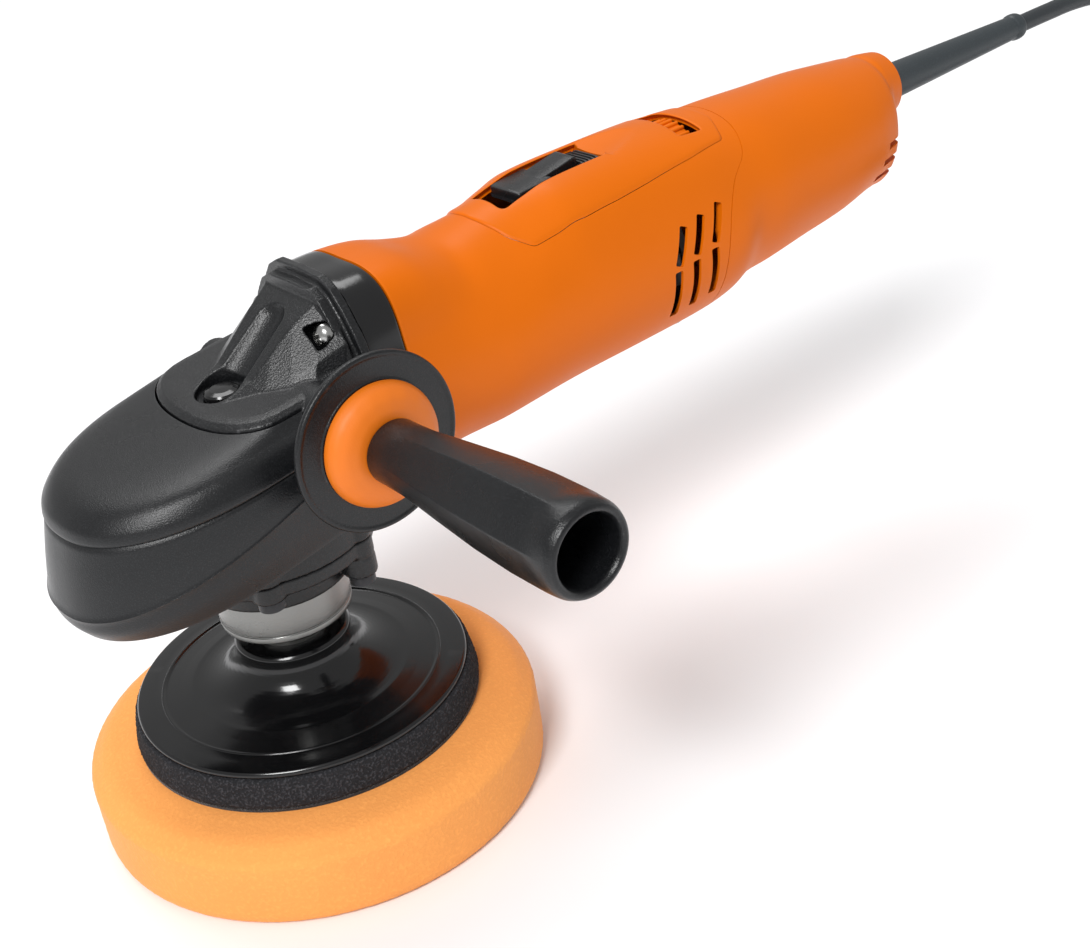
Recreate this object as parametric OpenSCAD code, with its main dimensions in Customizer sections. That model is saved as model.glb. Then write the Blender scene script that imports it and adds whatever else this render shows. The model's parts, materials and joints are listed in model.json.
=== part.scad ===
// Rotary polisher: a corded two-stage angle polisher with a foam pad, a side handle and a speed dial.
// +X runs from the spindle to the cord, +Z is up, -Y is the operator's left, where the side handle sits.
// The origin is on the spindle axis, on the working face of the pad.

/* [Polishing pad] */
// Diameter of the foam sponge
sponge_d = 150; // [140:1:160]
// Height of the foam sponge
sponge_h = 30; // [28:0.5:30]
// Diameter of the backing pad
backing_d = 115; // [110:1:118]
// Height of the soft layer of the backing pad
foam_h = 10; // [9:0.5:10]

/* [Gear head] */
// Height of the motor axis above the working face
motor_z = 133; // [132:0.5:135]
// Diameter of the bright collar round the spindle
collar_d = 43; // [40:0.5:44]
// Spread of the two upper head screws
screw_span_y = 35; // [33:0.5:36]
// Spread of the two lower head screws
screw_span_low = 45; // [44:0.5:46]
// Distance from the spindle axis to the handle axis
handle_x = 13.5; // [13:0.5:15]

/* [Gears] */
// Module of the spur gears
spur_module = 0.7; // [0.69:0.01:0.71]
// Teeth on the armature pinion
armature_teeth = 12; // [11:1:12]
// Teeth on the spur wheel
spur_teeth = 38; // [37:1:38]
// Module of the bevel gears at their outer end
bevel_module = 1.5; // [1.45:0.05:1.5]
// Teeth on the bevel pinion
pinion_teeth = 11; // [11:1:12]
// Teeth on the crown wheel
crown_teeth = 32; // [31:1:32]
// Play between two meshing teeth
backlash = 0.16; // [0.12:0.02:0.24]

/* [Motor] */
// Radius of the stator pack
stator_r = 28.4; // [27.8:0.2:28.4]
// Length of the stator pack
stator_l = 48; // [44:1:48]
// Radius of the armature pack
armature_r = 16.5; // [16:0.25:17]
// Radius of the cooling fan
fan_r = 25.5; // [24:0.5:25.5]

/* [Housing] */
// Wall of the orange housings
wall = 2.7; // [2.4:0.1:2.7]
// Radius of the speed dial
dial_r = 15; // [14:0.5:15]

/* [Side handle] */
// Radius of the hand guard disc
guard_r = 27.2; // [25:0.2:28]
// Distance from the tool's middle plane to the end of the grip
grip_end = 150; // [140:1:155]

/* [Cord] */
// Diameter of the cord
cord_d = 7; // [6.5:0.1:7.2]
// Length of the strain relief
relief_l = 85; // [80:1:85]

/* [Hidden] */
$fn = 64;
slip = 0.04;

// Colours
black = [0.13, 0.13, 0.14];
cast_black = [0.2, 0.2, 0.21];
orange = [0.93, 0.43, 0.05];
pale_orange = [0.97, 0.62, 0.3];
steel = [0.75, 0.76, 0.78];
copper = [0.72, 0.42, 0.22];
grey = [0.35, 0.38, 0.4];

// Heights of the pad stack
hook_h = 1;
foam_z = sponge_h + hook_h;
plate_z = foam_z + foam_h;
plate_rim_h = 2;
hub_top = plate_z + 19;
hub_r = 19;
insert_r = 12;
insert_h = 15;
thread_r = 7;

// Gear geometry
spur_r = spur_module * spur_teeth / 2;
armature_pinion_r = spur_module * armature_teeth / 2;
pinion_z = motor_z - spur_r - armature_pinion_r;
crown_r = bevel_module * crown_teeth / 2;
pinion_r = bevel_module * pinion_teeth / 2;
bevel_face = 8;
pressure_angle = 20;

// Heights of the gear head
flange_top = motor_z - 37;
flange_bottom = motor_z - 52;
collar_bottom = motor_z - 66;
lobe_rise = 7;
lower_bearing_z = motor_z - 49;
upper_screw_z = 26;
lower_screw_z = -19;
crown_hub_top = pinion_z - 4.5;
crown_hub_r = 13;
needle_z = pinion_z - 1;
lock_pin_r = 10;
lock_pin_size = 1.8;
lock_pin_r_hole = 2.05;
lock_cap_r = 5.6;
spigot_r = 18;
lock_x = -3.4;
lock_cap_z = motor_z + 14.2;
chamber_top = motor_z + 8.5;
head_rear = 33;
flange_front = 26;
ring_rear = 46;
spur_x = 34.5;
spur_w = 9;
handle_z = motor_z + 8;
boss_r = 9.5;
right_boss_r = 7;
boss_end = 49;
right_boss_end = 35;
handle_thread_r = 4;

// Places along the motor
bearing_6202 = [17.5, 7.5, 11];
bearing_608 = [11, 4, 7];
bearing_6000 = [13, 5, 8];
needle_0408 = [4, 2, 8];
fan_x = 62;
stator_x = 84;
commutator_x = 141;
brush_x = 149;
rear_bearing_x = 163;
dial_x = 181;
dial_z = motor_z + 24.3;
cover_end = 291;
exit_z = motor_z + 18;
relief_r = 7;
vent_x = [152.8, 161.2, 170];
clamp_x = 264;
screw_x = 168.6;

// The outside of the orange housings: distance along the motor, centre height above the motor axis, then the
// radius at 0, 30, 60, 90, 120, 150 and 180 degrees from the top
skin_rows = [
  [33, 0, 39.5, 40.8, 33, 32, 33, 34.5, 35],
  [46, 0, 39.3, 40.8, 32.6, 31.4, 32.5, 34.2, 35],
  [58, 0, 38.6, 39.4, 32.4, 31.2, 32.2, 33.4, 34.2],
  [68, 0, 35.8, 36.4, 32, 31.4, 32, 33, 33.6],
  [77, 0, 34.6, 33.9, 32, 31.8, 32.3, 33.1, 33.5],
  [85, 0, 35, 34.3, 32.3, 32.4, 32.6, 33.2, 33.6],
  [100, 0, 37.2, 35, 33.9, 32.8, 32.3, 32.4, 33],
  [110, 0, 39.2, 37.3, 34.4, 33, 32, 31.8, 32.2],
  [121, 0, 40.8, 39.8, 35, 33, 31.9, 31.4, 31.7],
  [150, 0, 41.2, 40.2, 35.2, 33, 31.7, 31, 31.2],
  [174, 0, 40.8, 39.8, 35, 33, 31.4, 30.3, 30.6],
  [186, 0, 39.6, 39, 34.5, 32.6, 30.2, 28.7, 28.7],
  [196, 3.5, 35.4, 35.2, 32.8, 30.6, 29.4, 28.6, 28.6],
  [210, 6.8, 31.6, 31.8, 31.2, 30.4, 30.2, 30.4, 30.6],
  [230, 7.3, 29.9, 30.1, 29.6, 28.9, 28.7, 28.8, 29],
  [250, 7.6, 28.5, 28.6, 28, 27.2, 27, 27.2, 27.4],
  [265, 8.2, 26.3, 26.3, 25.8, 25, 24.9, 25, 25.3],
  [272, 8.7, 25, 24.9, 24.1, 23.2, 23.6, 24.6, 25],
  [278, 9.4, 23.6, 23.3, 21.9, 20.8, 21.8, 23.8, 24],
  [280.5, 13.5, 19, 18.8, 18, 17.6, 18, 18.8, 19],
  [283, 17, 15.8, 15.8, 15.4, 15, 15.2, 15.4, 15.4],
  [287, 19, 13.4, 13.4, 13.4, 13.4, 13.4, 13.4, 13.4],
  [291, 19.5, 12.2, 12.2, 12.2, 12.2, 12.2, 12.2, 12.2]
];
skin_sides = 36;

// The outside of the hood, from the bottom rim up to the edge of its top opening: height at the nose, rise per
// millimetre towards the rear, nose distance from the spindle, half width, where the sides turn straight, and how
// far the wall has turned from upright to flat
hood_rows = [
  [95, 0.16, 66.3, 37.5, 14, 0],
  [98.5, 0.26, 68.8, 39.5, 13, 0],
  [103, 0.33, 69.8, 40.5, 12, 0],
  [114, 0.235, 67.4, 40.2, 12, 0],
  [125.4, 0.13, 64.5, 39.4, 12, 0],
  [127.4, 0.12, 64.5, 39.6, 12, 15],
  [131, 0.1, 63.4, 39, 12, 35],
  [135.5, 0.1, 58.5, 36.8, 12, 60],
  [138.5, 0.1, 50, 34.4, 9, 80],
  [144.5, 0.09, 19.5, 31.5, 0.5, 90]
];
hood_base = motor_z - 133;
hood_rear = 24;
hood_steps = 9;
hood_wall = 3;
hood_power = 2.25;

// The saddle on top of the gear housing: distance along the motor, then height and half width of its top edge
// and of its shoulder
saddle_rows = [
  [-13.6, 146.4, 7, 145.3, 9.8],
  [-6, 148.5, 9, 146.5, 12.5],
  [2, 151.5, 10, 148, 16],
  [10, 157.5, 11, 151, 20],
  [18, 163.5, 12, 154.5, 23],
  [28, 169.5, 14, 158, 25.5]
];
saddle_base = 140;

// Rim of the gear housing's flange: angle from the top and radius
flange_rim = [
  [0, 42.2], [16, 43.4], [24, 42.6], [34, 39.8], [46, 37.2], [60, 35.3], [90, 34.5], [120, 36.5], [150, 38], [180, 36.8]
];

// The cord's route from the strain relief to the coil
cord_route = [
  [376, 0, 151], [395, 0, 151], [413, 0, 150.6], [428, 0, 148.5], [441, 0, 144], [452, 0, 137], [461, 0, 128.5],
  [469, 0, 118], [475, 0, 106.5], [480, -1, 94], [484.5, -3, 81], [489, -6, 68], [494, -10, 55], [499.5, -15, 43],
  [505, -22, 32], [510, -31, 22], [514, -41, 14], [517, -51, 9]
];
coil_centre = [470, -80];
coil_mean_r = 40;
coil_half = 14.2;
tie_t = 1.2;

// ---------------------------------------------------------------- helpers

function unit(v) = v / norm(v);
function slope(rows, i, k) =
  let (a = max(i - 1, 0), b = min(i + 1, len(rows) - 1)) (rows[b][k] - rows[a][k]) / (rows[b][0] - rows[a][0]);
function hermite(a, b, slope_a, slope_b, span, t) =
  a * (2 * t ^ 3 - 3 * t ^ 2 + 1) + b * (3 * t ^ 2 - 2 * t ^ 3)
  + slope_a * span * (t ^ 3 - 2 * t ^ 2 + t) + slope_b * span * (t ^ 3 - t ^ 2);
// Value of column k of a table at x, smooth from row to row
function along(rows, x, k, i = 0) =
  i < len(rows) - 2 && x > rows[i + 1][0] ? along(rows, x, k, i + 1) :
  let (span = rows[i + 1][0] - rows[i][0])
    hermite(rows[i][k], rows[i + 1][k], slope(rows, i, k), slope(rows, i + 1, k), span, (x - rows[i][0]) / span);
function mirrored(j) = j < 0 ? -j : j > 6 ? 12 - j : j;
function skin_r(x, angle) =
  let (j = min(floor(angle / 30), 5),
       r = [for (k = [-1:2]) along(skin_rows, x, 2 + mirrored(j + k))])
    hermite(r[1], r[2], (r[2] - r[0]) / 2, (r[3] - r[1]) / 2, 1, angle / 30 - j);
function skin_ring(x, inset) =
  let (centre = motor_z + along(skin_rows, x, 1))
    [for (s = [0:skin_sides - 1])
      let (a = s * 360 / skin_sides, r = skin_r(x, a > 180 ? 360 - a : a) - inset)
        [x, r * sin(a), centre + r * cos(a)]];
function flat_list(rings) = [for (ring = rings) for (p = ring) p];

// Closed skin through rings of equally many points; a loop of rings closes on itself, an open row gets flat ends
module skin(rings, loop = false) {
  n = len(rings[0]);
  m = len(rings);
  sides = [for (i = [0:m - (loop ? 1 : 2)]) for (s = [0:n - 1])
    let (a = i * n, b = ((i + 1) % m) * n, t = (s + 1) % n)
      each [[a + s, a + t, b + t], [a + s, b + t, b + s]]];
  ends = loop ? [] : [[for (s = [n - 1:-1:0]) s], [for (s = [0:n - 1]) (m - 1) * n + s]];
  polyhedron(flat_list(rings), concat(sides, ends));
}

// Tube swept along points
function tangents(p) = [for (i = [0:len(p) - 1]) unit(p[min(i + 1, len(p) - 1)] - p[max(i - 1, 0)])];
function carried(t, normal, i = 0) =
  i == len(t) ? [] : let (m = unit(normal - (normal * t[i]) * t[i])) concat([m], carried(t, m, i + 1));
module swept(points, r, sides, normal) {
  t = tangents(points);
  m = carried(t, normal);
  skin([for (i = [0:len(points) - 1])
    let (b = cross(m[i], t[i])) [for (s = [0:sides - 1])
      points[i] + r * (cos(s * 360 / sides) * m[i] + sin(s * 360 / sides) * b)]]);
}

module rod_x(x0, x1, r, y = 0, z = motor_z) {
  translate([x0, y, z]) rotate([0, 90, 0]) cylinder(h = x1 - x0, r = r);
}
module ring_x(x0, x1, outer, inner, y = 0, z = motor_z) {
  difference() {
    rod_x(x0, x1, outer, y, z);
    rod_x(x0 - 1, x1 + 1, inner, y, z);
  }
}
module rod_z(z0, z1, r, x = 0, y = 0) {
  translate([x, y, z0]) cylinder(h = z1 - z0, r = r);
}
module ring_z(z0, z1, outer, inner) {
  difference() {
    rod_z(z0, z1, outer);
    rod_z(z0 - 1, z1 + 1, inner);
  }
}
module box(low, high) {
  translate(low) cube(high - low);
}
// The four screws that hold the gear housing to the motor housing: the upper pair, then the lower pair
module at_head_screws() {
  for (y = [-1, 1], p = [[screw_span_y / 2, upper_screw_z], [screw_span_low / 2, lower_screw_z]])
    translate([0, y * p[0], motor_z + p[1]]) children();
}
// The four screws of the bearing flange; the two front ones sit higher
module at_flange_screws(front_rise = 0) {
  for (x = [-1, 1], y = [-1, 1]) translate([x * 16, y * 25, x < 0 ? front_rise : 0]) children();
}

// ---------------------------------------------------------------- gears

function involute(a) = tan(a) * 180 / PI - a;
// Half the angle that a tooth covers at radius r of a gear with pitch radius pitch and teeth teeth
function tooth_half(pitch, teeth, r) =
  let (base = pitch * cos(pressure_angle), here = r <= base ? 0 : acos(base / r))
    90 / teeth - backlash / pitch * 45 / PI + involute(pressure_angle) - involute(here);
// Outline of a spur gear, one tooth centred on +X
function spur_outline(m, teeth) =
  let (pitch = m * teeth / 2, levels = [pitch - 1.2 * m, pitch - 0.6 * m, pitch, pitch + 0.4 * m, pitch + 0.8 * m])
    [for (k = [0:teeth - 1]) for (side = [-1, 1]) for (i = [0:4])
      let (r = levels[side < 0 ? i : 4 - i], a = k * 360 / teeth + side * tooth_half(pitch, teeth, r))
        r * [cos(a), sin(a)]];
module spur_gear(m, teeth, width, bore) {
  difference() {
    linear_extrude(width) polygon(spur_outline(m, teeth));
    translate([0, 0, -1]) cylinder(h = width + 2, r = bore);
  }
}
// Ring of points on a bevel gear's back cone, shrunk towards the apex; the apex is the origin, one tooth is at +X
function bevel_ring(pitch, teeth, cone, shrink) =
  let (m = 2 * pitch / teeth, levels = [-1.15 * m, -0.5 * m, 0, 0.4 * m, 0.8 * m], far = pitch / tan(cone))
    [for (k = [0:teeth - 1]) for (side = [-1, 1]) for (i = [0:4])
      let (h = levels[side < 0 ? i : 4 - i],
           r = pitch + h * cos(cone),
           half = tooth_half(pitch / cos(cone), teeth / cos(cone), pitch / cos(cone) + h) * (pitch / cos(cone) + h) / r,
           a = k * 360 / teeth + side * half)
        shrink * [r * cos(a), r * sin(a), far - h * sin(cone)]];
// Bevel gear blank with teeth, without its bore: front is the flat small end, back the flat large end
module bevel_teeth(pitch, teeth, cone, front, back, rim) {
  apex_length = pitch / sin(cone);
  outer = bevel_ring(pitch, teeth, cone, 1);
  inner = bevel_ring(pitch, teeth, cone, 1 - bevel_face / apex_length);
  front_rim = [for (p = inner) let (a = atan2(p[1], p[0])) [front[0] * cos(a), front[0] * sin(a), front[1]]];
  back_rim = [for (p = outer) let (a = atan2(p[1], p[0])) [rim * cos(a), rim * sin(a), back]];
  skin([back_rim, outer, inner, front_rim]);
}

// ---------------------------------------------------------------- pad

module polishing_sponge() {
  r = sponge_d / 2;
  color(pale_orange) rotate_extrude($fn = 96) polygon([
    [0, 0], [r - 3, 0], [r - 0.9, 0.9], [r, 3], [r, sponge_h - 7.5], [r - 0.8, sponge_h - 6],
    [r - 5.6, sponge_h - 2.2], [r - 8, sponge_h - 1.4], [r - 16, sponge_h], [0, sponge_h]
  ]);
}
module hook_disc() {
  color(black) rod_z(sponge_h, foam_z, backing_d / 2 - 0.5, $fn = 96);
}
module backing_foam() {
  r = backing_d / 2;
  color(black) rotate_extrude($fn = 96)
    polygon([[0, foam_z], [r - 0.3, foam_z], [r, foam_z + 1.5], [r - 1.6, plate_z], [0, plate_z]]);
}
module backing_plate() {
  r = backing_d / 2 - 2.8;
  flare = [for (a = [0:15:90]) [hub_r + 15 * (1 - sin(a)), plate_z + 4 + 12 * (1 - cos(a))]];
  color(black) difference() {
    rotate_extrude($fn = 96) polygon(concat(
      [[0, plate_z], [r, plate_z], [r, plate_z + plate_rim_h - 0.6], [r - 0.6, plate_z + plate_rim_h]],
      flare, [[hub_r, hub_top - 1.2], [hub_r - 1.2, hub_top], [0, hub_top]]
    ));
    rod_z(hub_top - insert_h, hub_top + 1, insert_r);
  }
}
module plate_insert() {
  color(steel) ring_z(hub_top - insert_h, hub_top, insert_r, thread_r);
}

// ---------------------------------------------------------------- spindle and gear head

module spindle() {
  flats = 17;
  journal = bearing_6202[1] - slip;
  color(steel) union() {
    rod_z(hub_top - insert_h, hub_top, thread_r);
    intersection() {
      rod_z(hub_top, collar_bottom + 3, 10.5);
      box([-11, -flats / 2, hub_top], [11, flats / 2, collar_bottom + 3]);
    }
    rod_z(collar_bottom + 3, lower_bearing_z, 9);
    rod_z(lower_bearing_z, flange_top + 1, journal);
    rod_z(flange_top + 1, crown_hub_top, 6);
    rod_z(crown_hub_top, needle_z + 10, 4 - slip);
  }
}
module crown_wheel() {
  cone = atan2(crown_teeth, pinion_teeth);
  bottom = flange_top + 1;
  color(steel) difference() {
    union() {
      translate([0, 0, pinion_z]) rotate([180, 0, 0])
        bevel_teeth(crown_r, crown_teeth, cone, [13.5, pinion_z - bottom - 4], pinion_z - bottom, crown_r - 1);
      rod_z(bottom, crown_hub_top, crown_hub_r);
    }
    rod_z(bottom - 1, crown_hub_top + 1, 6);
    for (a = [0:90:270]) rotate(a) rod_z(crown_hub_top - 6, crown_hub_top + 1, lock_pin_r_hole, lock_pin_r);
  }
}
module spindle_circlip() {
  color(steel) ring_z(crown_hub_top, crown_hub_top + 1, 7.5, 4 - slip);
}
module lower_bearing() {
  color(steel) ring_z(lower_bearing_z, lower_bearing_z + bearing_6202[2], bearing_6202[0], bearing_6202[1]);
}
module upper_bearing() {
  color(steel) ring_z(needle_z, needle_z + 10, 6, 4);
}
module neck_collar() {
  color(steel) ring_z(collar_bottom, flange_bottom, collar_d / 2, spigot_r, $fn = 96);
}
module bearing_flange() {
  color(cast_black) difference() {
    union() {
      rod_z(collar_bottom + 2, flange_top, spigot_r);
      rod_z(flange_bottom, flange_top, 24);
      rod_z(flange_top - 5, flange_top, 33);
      at_flange_screws(front_rise = lobe_rise) rod_z(flange_bottom + 2, flange_top - lobe_rise, 5.5);
      at_flange_screws() rod_z(flange_top - lobe_rise + 1, flange_top, 5.5);
    }
    rod_z(collar_bottom, flange_top, 12);
    rod_z(lower_bearing_z, flange_top + 1, bearing_6202[0]);
    at_flange_screws() rod_z(flange_bottom, flange_top + 1, 2.5);
  }
}
module flange_screws() {
  color(steel) at_flange_screws(front_rise = lobe_rise) difference() {
    union() {
      rod_z(flange_bottom - 1.4, flange_bottom + 2, 4.2);
      rod_z(flange_bottom + 2, flange_top + 11 - lobe_rise, 2.5);
    }
    rod_z(flange_bottom - 2, flange_bottom + 0.2, 2.3, $fn = 6);
  }
}

// One loop of the hood, clockwise from above; part 0 is its outside and part 1 its inside
function hood_loop(row, part) =
  let (turn = row[5], side = part * hood_wall * cos(turn), nose = row[2] - side, w = row[3] - side,
       straight = min(row[4], nose - 1))
    [each [for (i = [-hood_steps:hood_steps])
      let (a = i * 90 / hood_steps, x = -straight - (nose - straight) * abs(cos(a)) ^ (2 / hood_power))
        [x, w * sign(a) * abs(sin(a)) ^ (2 / hood_power),
         hood_base + row[0] + row[1] * (x + row[2]) - part * hood_wall * sin(turn)]],
     for (y = [1, -1])
       [hood_rear + 2, y * w, hood_base + row[0] + row[1] * (hood_rear + 2 + row[2]) - part * hood_wall * sin(turn)]];

// Bosses for the side handle; the one on the right is plain and short
module handle_bosses(grow, left, right) {
  translate([handle_x, 0, handle_z]) rotate([90, 0, 0]) cylinder(h = left, r = boss_r + grow);
  translate([handle_x, right, handle_z]) rotate([90, 0, 0]) cylinder(h = right, r = right_boss_r + grow);
}
module grip_hood() {
  last = len(hood_rows) - 1;
  color(black) difference() {
    skin(concat([for (row = hood_rows) hood_loop(row, 0)], [for (i = [last:-1:0]) hood_loop(hood_rows[i], 1)]),
         loop = true);
    box([hood_rear, -50, 90], [hood_rear + 10, 50, 170]);
    handle_bosses(0.6, 60, 60);
  }
}

module flange_plate(x0, x1, inset) {
  half = [for (p = flange_rim) (p[1] - inset) * [sin(p[0]), cos(p[0])]];
  other = [for (i = [len(half) - 2:-1:1]) [-half[i][0], half[i][1]]];
  translate([x0, 0, motor_z]) rotate([90, 0, 90]) linear_extrude(x1 - x0) polygon(concat(half, other));
}
module saddle() {
  skin([for (row = saddle_rows)
    let (right = [[row[2], row[1]], [row[4], row[3]], [min(29, 26 + 0.45 * row[0]), saddle_base]],
         left = [for (i = [2:-1:0]) [-right[i][0], right[i][1]]])
      [for (p = concat(right, left)) [row[0], p[0], p[1] + hood_base]]]);
}
module head_dome() {
  opening = hood_rows[len(hood_rows) - 1];
  levels = [[-12, 0.6], [0.8, 0.6], [2.2, 2.5], [2.8, 5]];
  skin([for (level = levels) hood_loop(opening + [level[0], 0, -level[1], -level[1], 0, 0], 0)]);
}
module gear_housing() {
  color(cast_black) difference() {
    union() {
      difference() {
        union() {
          rod_z(flange_top, saddle_base - 2 + hood_base, 33);
          at_flange_screws() rod_z(flange_top, flange_top + 14, 5.5);
          head_dome();
          saddle();
          translate([0, 0, motor_z]) rotate([0, 90, 0]) cylinder(h = flange_front + 2, r1 = 16, r2 = 30);
          rod_x(0, flange_front + 2, 14.5, 0, pinion_z);
          box([0, -14, pinion_z], [flange_front + 2, 14, motor_z]);
          handle_bosses(0, boss_end, right_boss_end);
          flange_plate(flange_front, head_rear - 3, 3);
          flange_plate(head_rear - 3, head_rear, 0);
        }
        rod_z(flange_top - 1, pinion_z + 13, 27);
        rod_x(-2, flange_front, 11.5, 0, pinion_z);
        box([-12.6, -9.4, motor_z - 1], [head_rear + 1, 9.4, chamber_top]);
      }
      rod_z(pinion_z - 2, pinion_z + 14, 13.5);
    }
    rod_z(pinion_z - 3, needle_z + 10, 6);
    rod_z(pinion_z - 3, pinion_z + 12, 4.5);
    rod_z(pinion_z - 3, motor_z, lock_pin_r_hole, -lock_pin_r);
    rod_x(flange_front - 1, head_rear + 1, bearing_608[0], 0, pinion_z);
    rod_z(chamber_top - 1, motor_z + 40, lock_cap_r + 0.15, lock_x);
    rod_z(motor_z + 12.5, motor_z + 40, lock_cap_r + 2.6, lock_x);
    hull() {
      translate([lock_x + 2, 0, motor_z + 20.6]) sphere(r = 7.6, $fn = 32);
      translate([14.4, 0, motor_z + 33.7]) sphere(r = 7.9, $fn = 32);
    }
    at_flange_screws() rod_z(flange_top - 1, flange_top + 11, 2.5);
    translate([handle_x, -boss_end + 14, handle_z]) rotate([90, 0, 0]) cylinder(h = 15, r = handle_thread_r);
    translate([handle_x, right_boss_end - 14, handle_z]) rotate([-90, 0, 0]) cylinder(h = 15, r = handle_thread_r);
    at_head_screws() rod_x(flange_front - 1, head_rear + 1, 2.6, 0, 0);
    at_head_screws() rod_x(flange_front - 6, flange_front + 0.6, 4.6, 0, 0);
  }
}
module lock_button() {
  plate = [8.6, 2.4];
  top = chamber_top - 0.1;
  color(black) union() {
    rod_z(top - plate[1], top, plate[0], lock_x);
    rod_z(top - 1, lock_cap_z, lock_cap_r, lock_x);
    translate([lock_x, 0, lock_cap_z]) rotate_extrude()
      polygon([[0, 0], [lock_cap_r, 0], [lock_cap_r - 0.5, 0.6], [lock_cap_r - 2, 1.1], [0, 1.3]]);
  }
}
module lock_pin() {
  color(steel) rod_z(crown_hub_top + 2, chamber_top - 2.5, lock_pin_size, -lock_pin_r);
}
module lock_spring() {
  bottom = motor_z - 1;
  top = chamber_top - 2.5;
  wire = 0.4;
  turns = 3;
  steps = 16;
  coil = [for (i = [0:turns * steps])
    let (a = i * 360 / steps, t = i / (turns * steps))
      [lock_x + 1.5 + 4.5 * cos(a), 4.5 * sin(a), bottom + wire + t * (top - bottom - 2 * wire)]];
  color(steel) swept(coil, wire, 6, [0, 0, 1]);
}

// ---------------------------------------------------------------- pinion shaft and gear ring

module pinion_shaft() {
  color(steel) union() {
    rod_x(15.5, flange_front - 0.5, 3, 0, pinion_z);
    rod_x(flange_front - 0.5, flange_front, 5.5, 0, pinion_z);
    rod_x(flange_front, spur_x + spur_w, bearing_608[1] - slip, 0, pinion_z);
    rod_x(spur_x + spur_w, ring_rear + 7.5, needle_0408[1] - slip, 0, pinion_z);
  }
}
module bevel_pinion() {
  cone = atan2(pinion_teeth, crown_teeth);
  color(steel) translate([0, 0, pinion_z]) rotate([0, 90, 0]) difference() {
    rotate(180 / pinion_teeth) bevel_teeth(pinion_r, pinion_teeth, cone, [4.2, 15.6], flange_front - 0.5, 6);
    cylinder(h = 40, r = 3);
  }
}
module spur_wheel() {
  color(steel) translate([spur_x, 0, pinion_z]) rotate([0, 90, 0]) rotate(180)
    spur_gear(spur_module, spur_teeth, spur_w, bearing_608[1] - slip);
}
module pinion_bearing() {
  color(steel) ring_x(flange_front, head_rear, bearing_608[0], bearing_608[1], 0, pinion_z);
}
module pinion_needle_bearing() {
  color(steel) ring_x(ring_rear, ring_rear + needle_0408[2], needle_0408[0], needle_0408[1], 0, pinion_z);
}
module head_screws() {
  color(steel) at_head_screws() difference() {
    union() {
      rod_x(flange_front - 3, flange_front, 4, 0, 0);
      rod_x(flange_front, ring_rear + 10, 2.4, 0, 0);
    }
    rod_x(flange_front - 4, flange_front - 1.4, 2, 0, 0, $fn = 6);
  }
}
module gear_ring() {
  color(black) difference() {
    skin([for (x = [head_rear, head_rear + 6, ring_rear]) skin_ring(x, 0)]);
    rod_x(head_rear - 1, ring_rear + 1, spur_r + 1.6, 0, pinion_z);
    rod_x(head_rear - 1, ring_rear + 1, armature_pinion_r + 3);
    at_head_screws() rod_x(head_rear - 1, ring_rear + 1, 2.6, 0, 0);
  }
}
module bearing_shield() {
  color(steel) difference() {
    union() {
      rod_x(ring_rear, ring_rear + 12, 24);
      rod_x(ring_rear, ring_rear + 12, 8, 0, pinion_z);
    }
    rod_x(ring_rear - 1, ring_rear + 13, 6.5);
    rod_x(ring_rear + 4, ring_rear + 13, bearing_6000[0]);
    rod_x(ring_rear - 1, ring_rear + needle_0408[2], needle_0408[0], 0, pinion_z);
  }
}

// ---------------------------------------------------------------- motor

module armature_shaft() {
  color(steel) union() {
    rod_x(spur_x, ring_rear, 2.5);
    rod_x(ring_rear, ring_rear + 15, bearing_6000[1] - slip);
    rod_x(ring_rear + 15, rear_bearing_x - 1, 5);
    rod_x(rear_bearing_x - 1, rear_bearing_x + 8, bearing_608[1] - slip);
  }
}
module armature_pinion() {
  color(steel) translate([spur_x, 0, motor_z]) rotate([0, 90, 0]) rotate(180 / armature_teeth)
    spur_gear(spur_module, armature_teeth, spur_w + 1, 2.5);
}
module at_slots(n, r) {
  for (i = [0:n - 1]) translate([0, 0, motor_z]) rotate([i * 360 / n, 0, 0]) translate([0, 0, r - motor_z]) children();
}
module armature_core() {
  color(grey) difference() {
    rod_x(stator_x + 1, stator_x + stator_l - 1, armature_r);
    rod_x(stator_x, stator_x + stator_l, 5);
    at_slots(12, 13.5) rod_x(stator_x, stator_x + stator_l, 2.4);
    at_slots(12, 16.5) box([stator_x, -0.8, motor_z - 3], [stator_x + stator_l, 0.8, motor_z + 3]);
  }
}
module armature_windings() {
  color(copper) union() {
    for (end = [[stator_x - 7, stator_x + 1], [stator_x + stator_l - 1, stator_x + stator_l + 7]])
      ring_x(end[0], end[1], 15.9, 7);
    at_slots(12, 13.5) rod_x(stator_x, stator_x + stator_l, 2.3, $fn = 24);
  }
}
module commutator() {
  bars = 24;
  color(copper) difference() {
    ring_x(commutator_x, commutator_x + 16, 11, 5);
    at_slots(bars, 11) box([commutator_x + 2, -0.3, motor_z - 1], [commutator_x + 17, 0.3, motor_z + 1]);
  }
}
module cooling_fan() {
  color(black) difference() {
    union() {
      rod_x(fan_x, fan_x + 12, 8);
      rod_x(fan_x + 10, fan_x + 12, fan_r);
      at_slots(12, 15.5) box([fan_x, -0.7, motor_z - 9], [fan_x + 10.5, 0.7, motor_z + fan_r - 15.5]);
    }
    rod_x(fan_x - 1, fan_x + 13, 5);
  }
}
module front_bearing() {
  color(steel) ring_x(ring_rear + 4, ring_rear + 12, bearing_6000[0], bearing_6000[1]);
}
module rear_bearing() {
  color(steel) ring_x(rear_bearing_x, rear_bearing_x + bearing_608[2], bearing_608[0], bearing_608[1]);
}
module fan_baffle() {
  color(black) difference() {
    rod_x(fan_x - 1, fan_x + 15.5, fan_r + 2.5);
    rod_x(fan_x - 2, fan_x + 13.5, fan_r + 1);
    rod_x(fan_x + 13, fan_x + 16, 18);
  }
}
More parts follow.
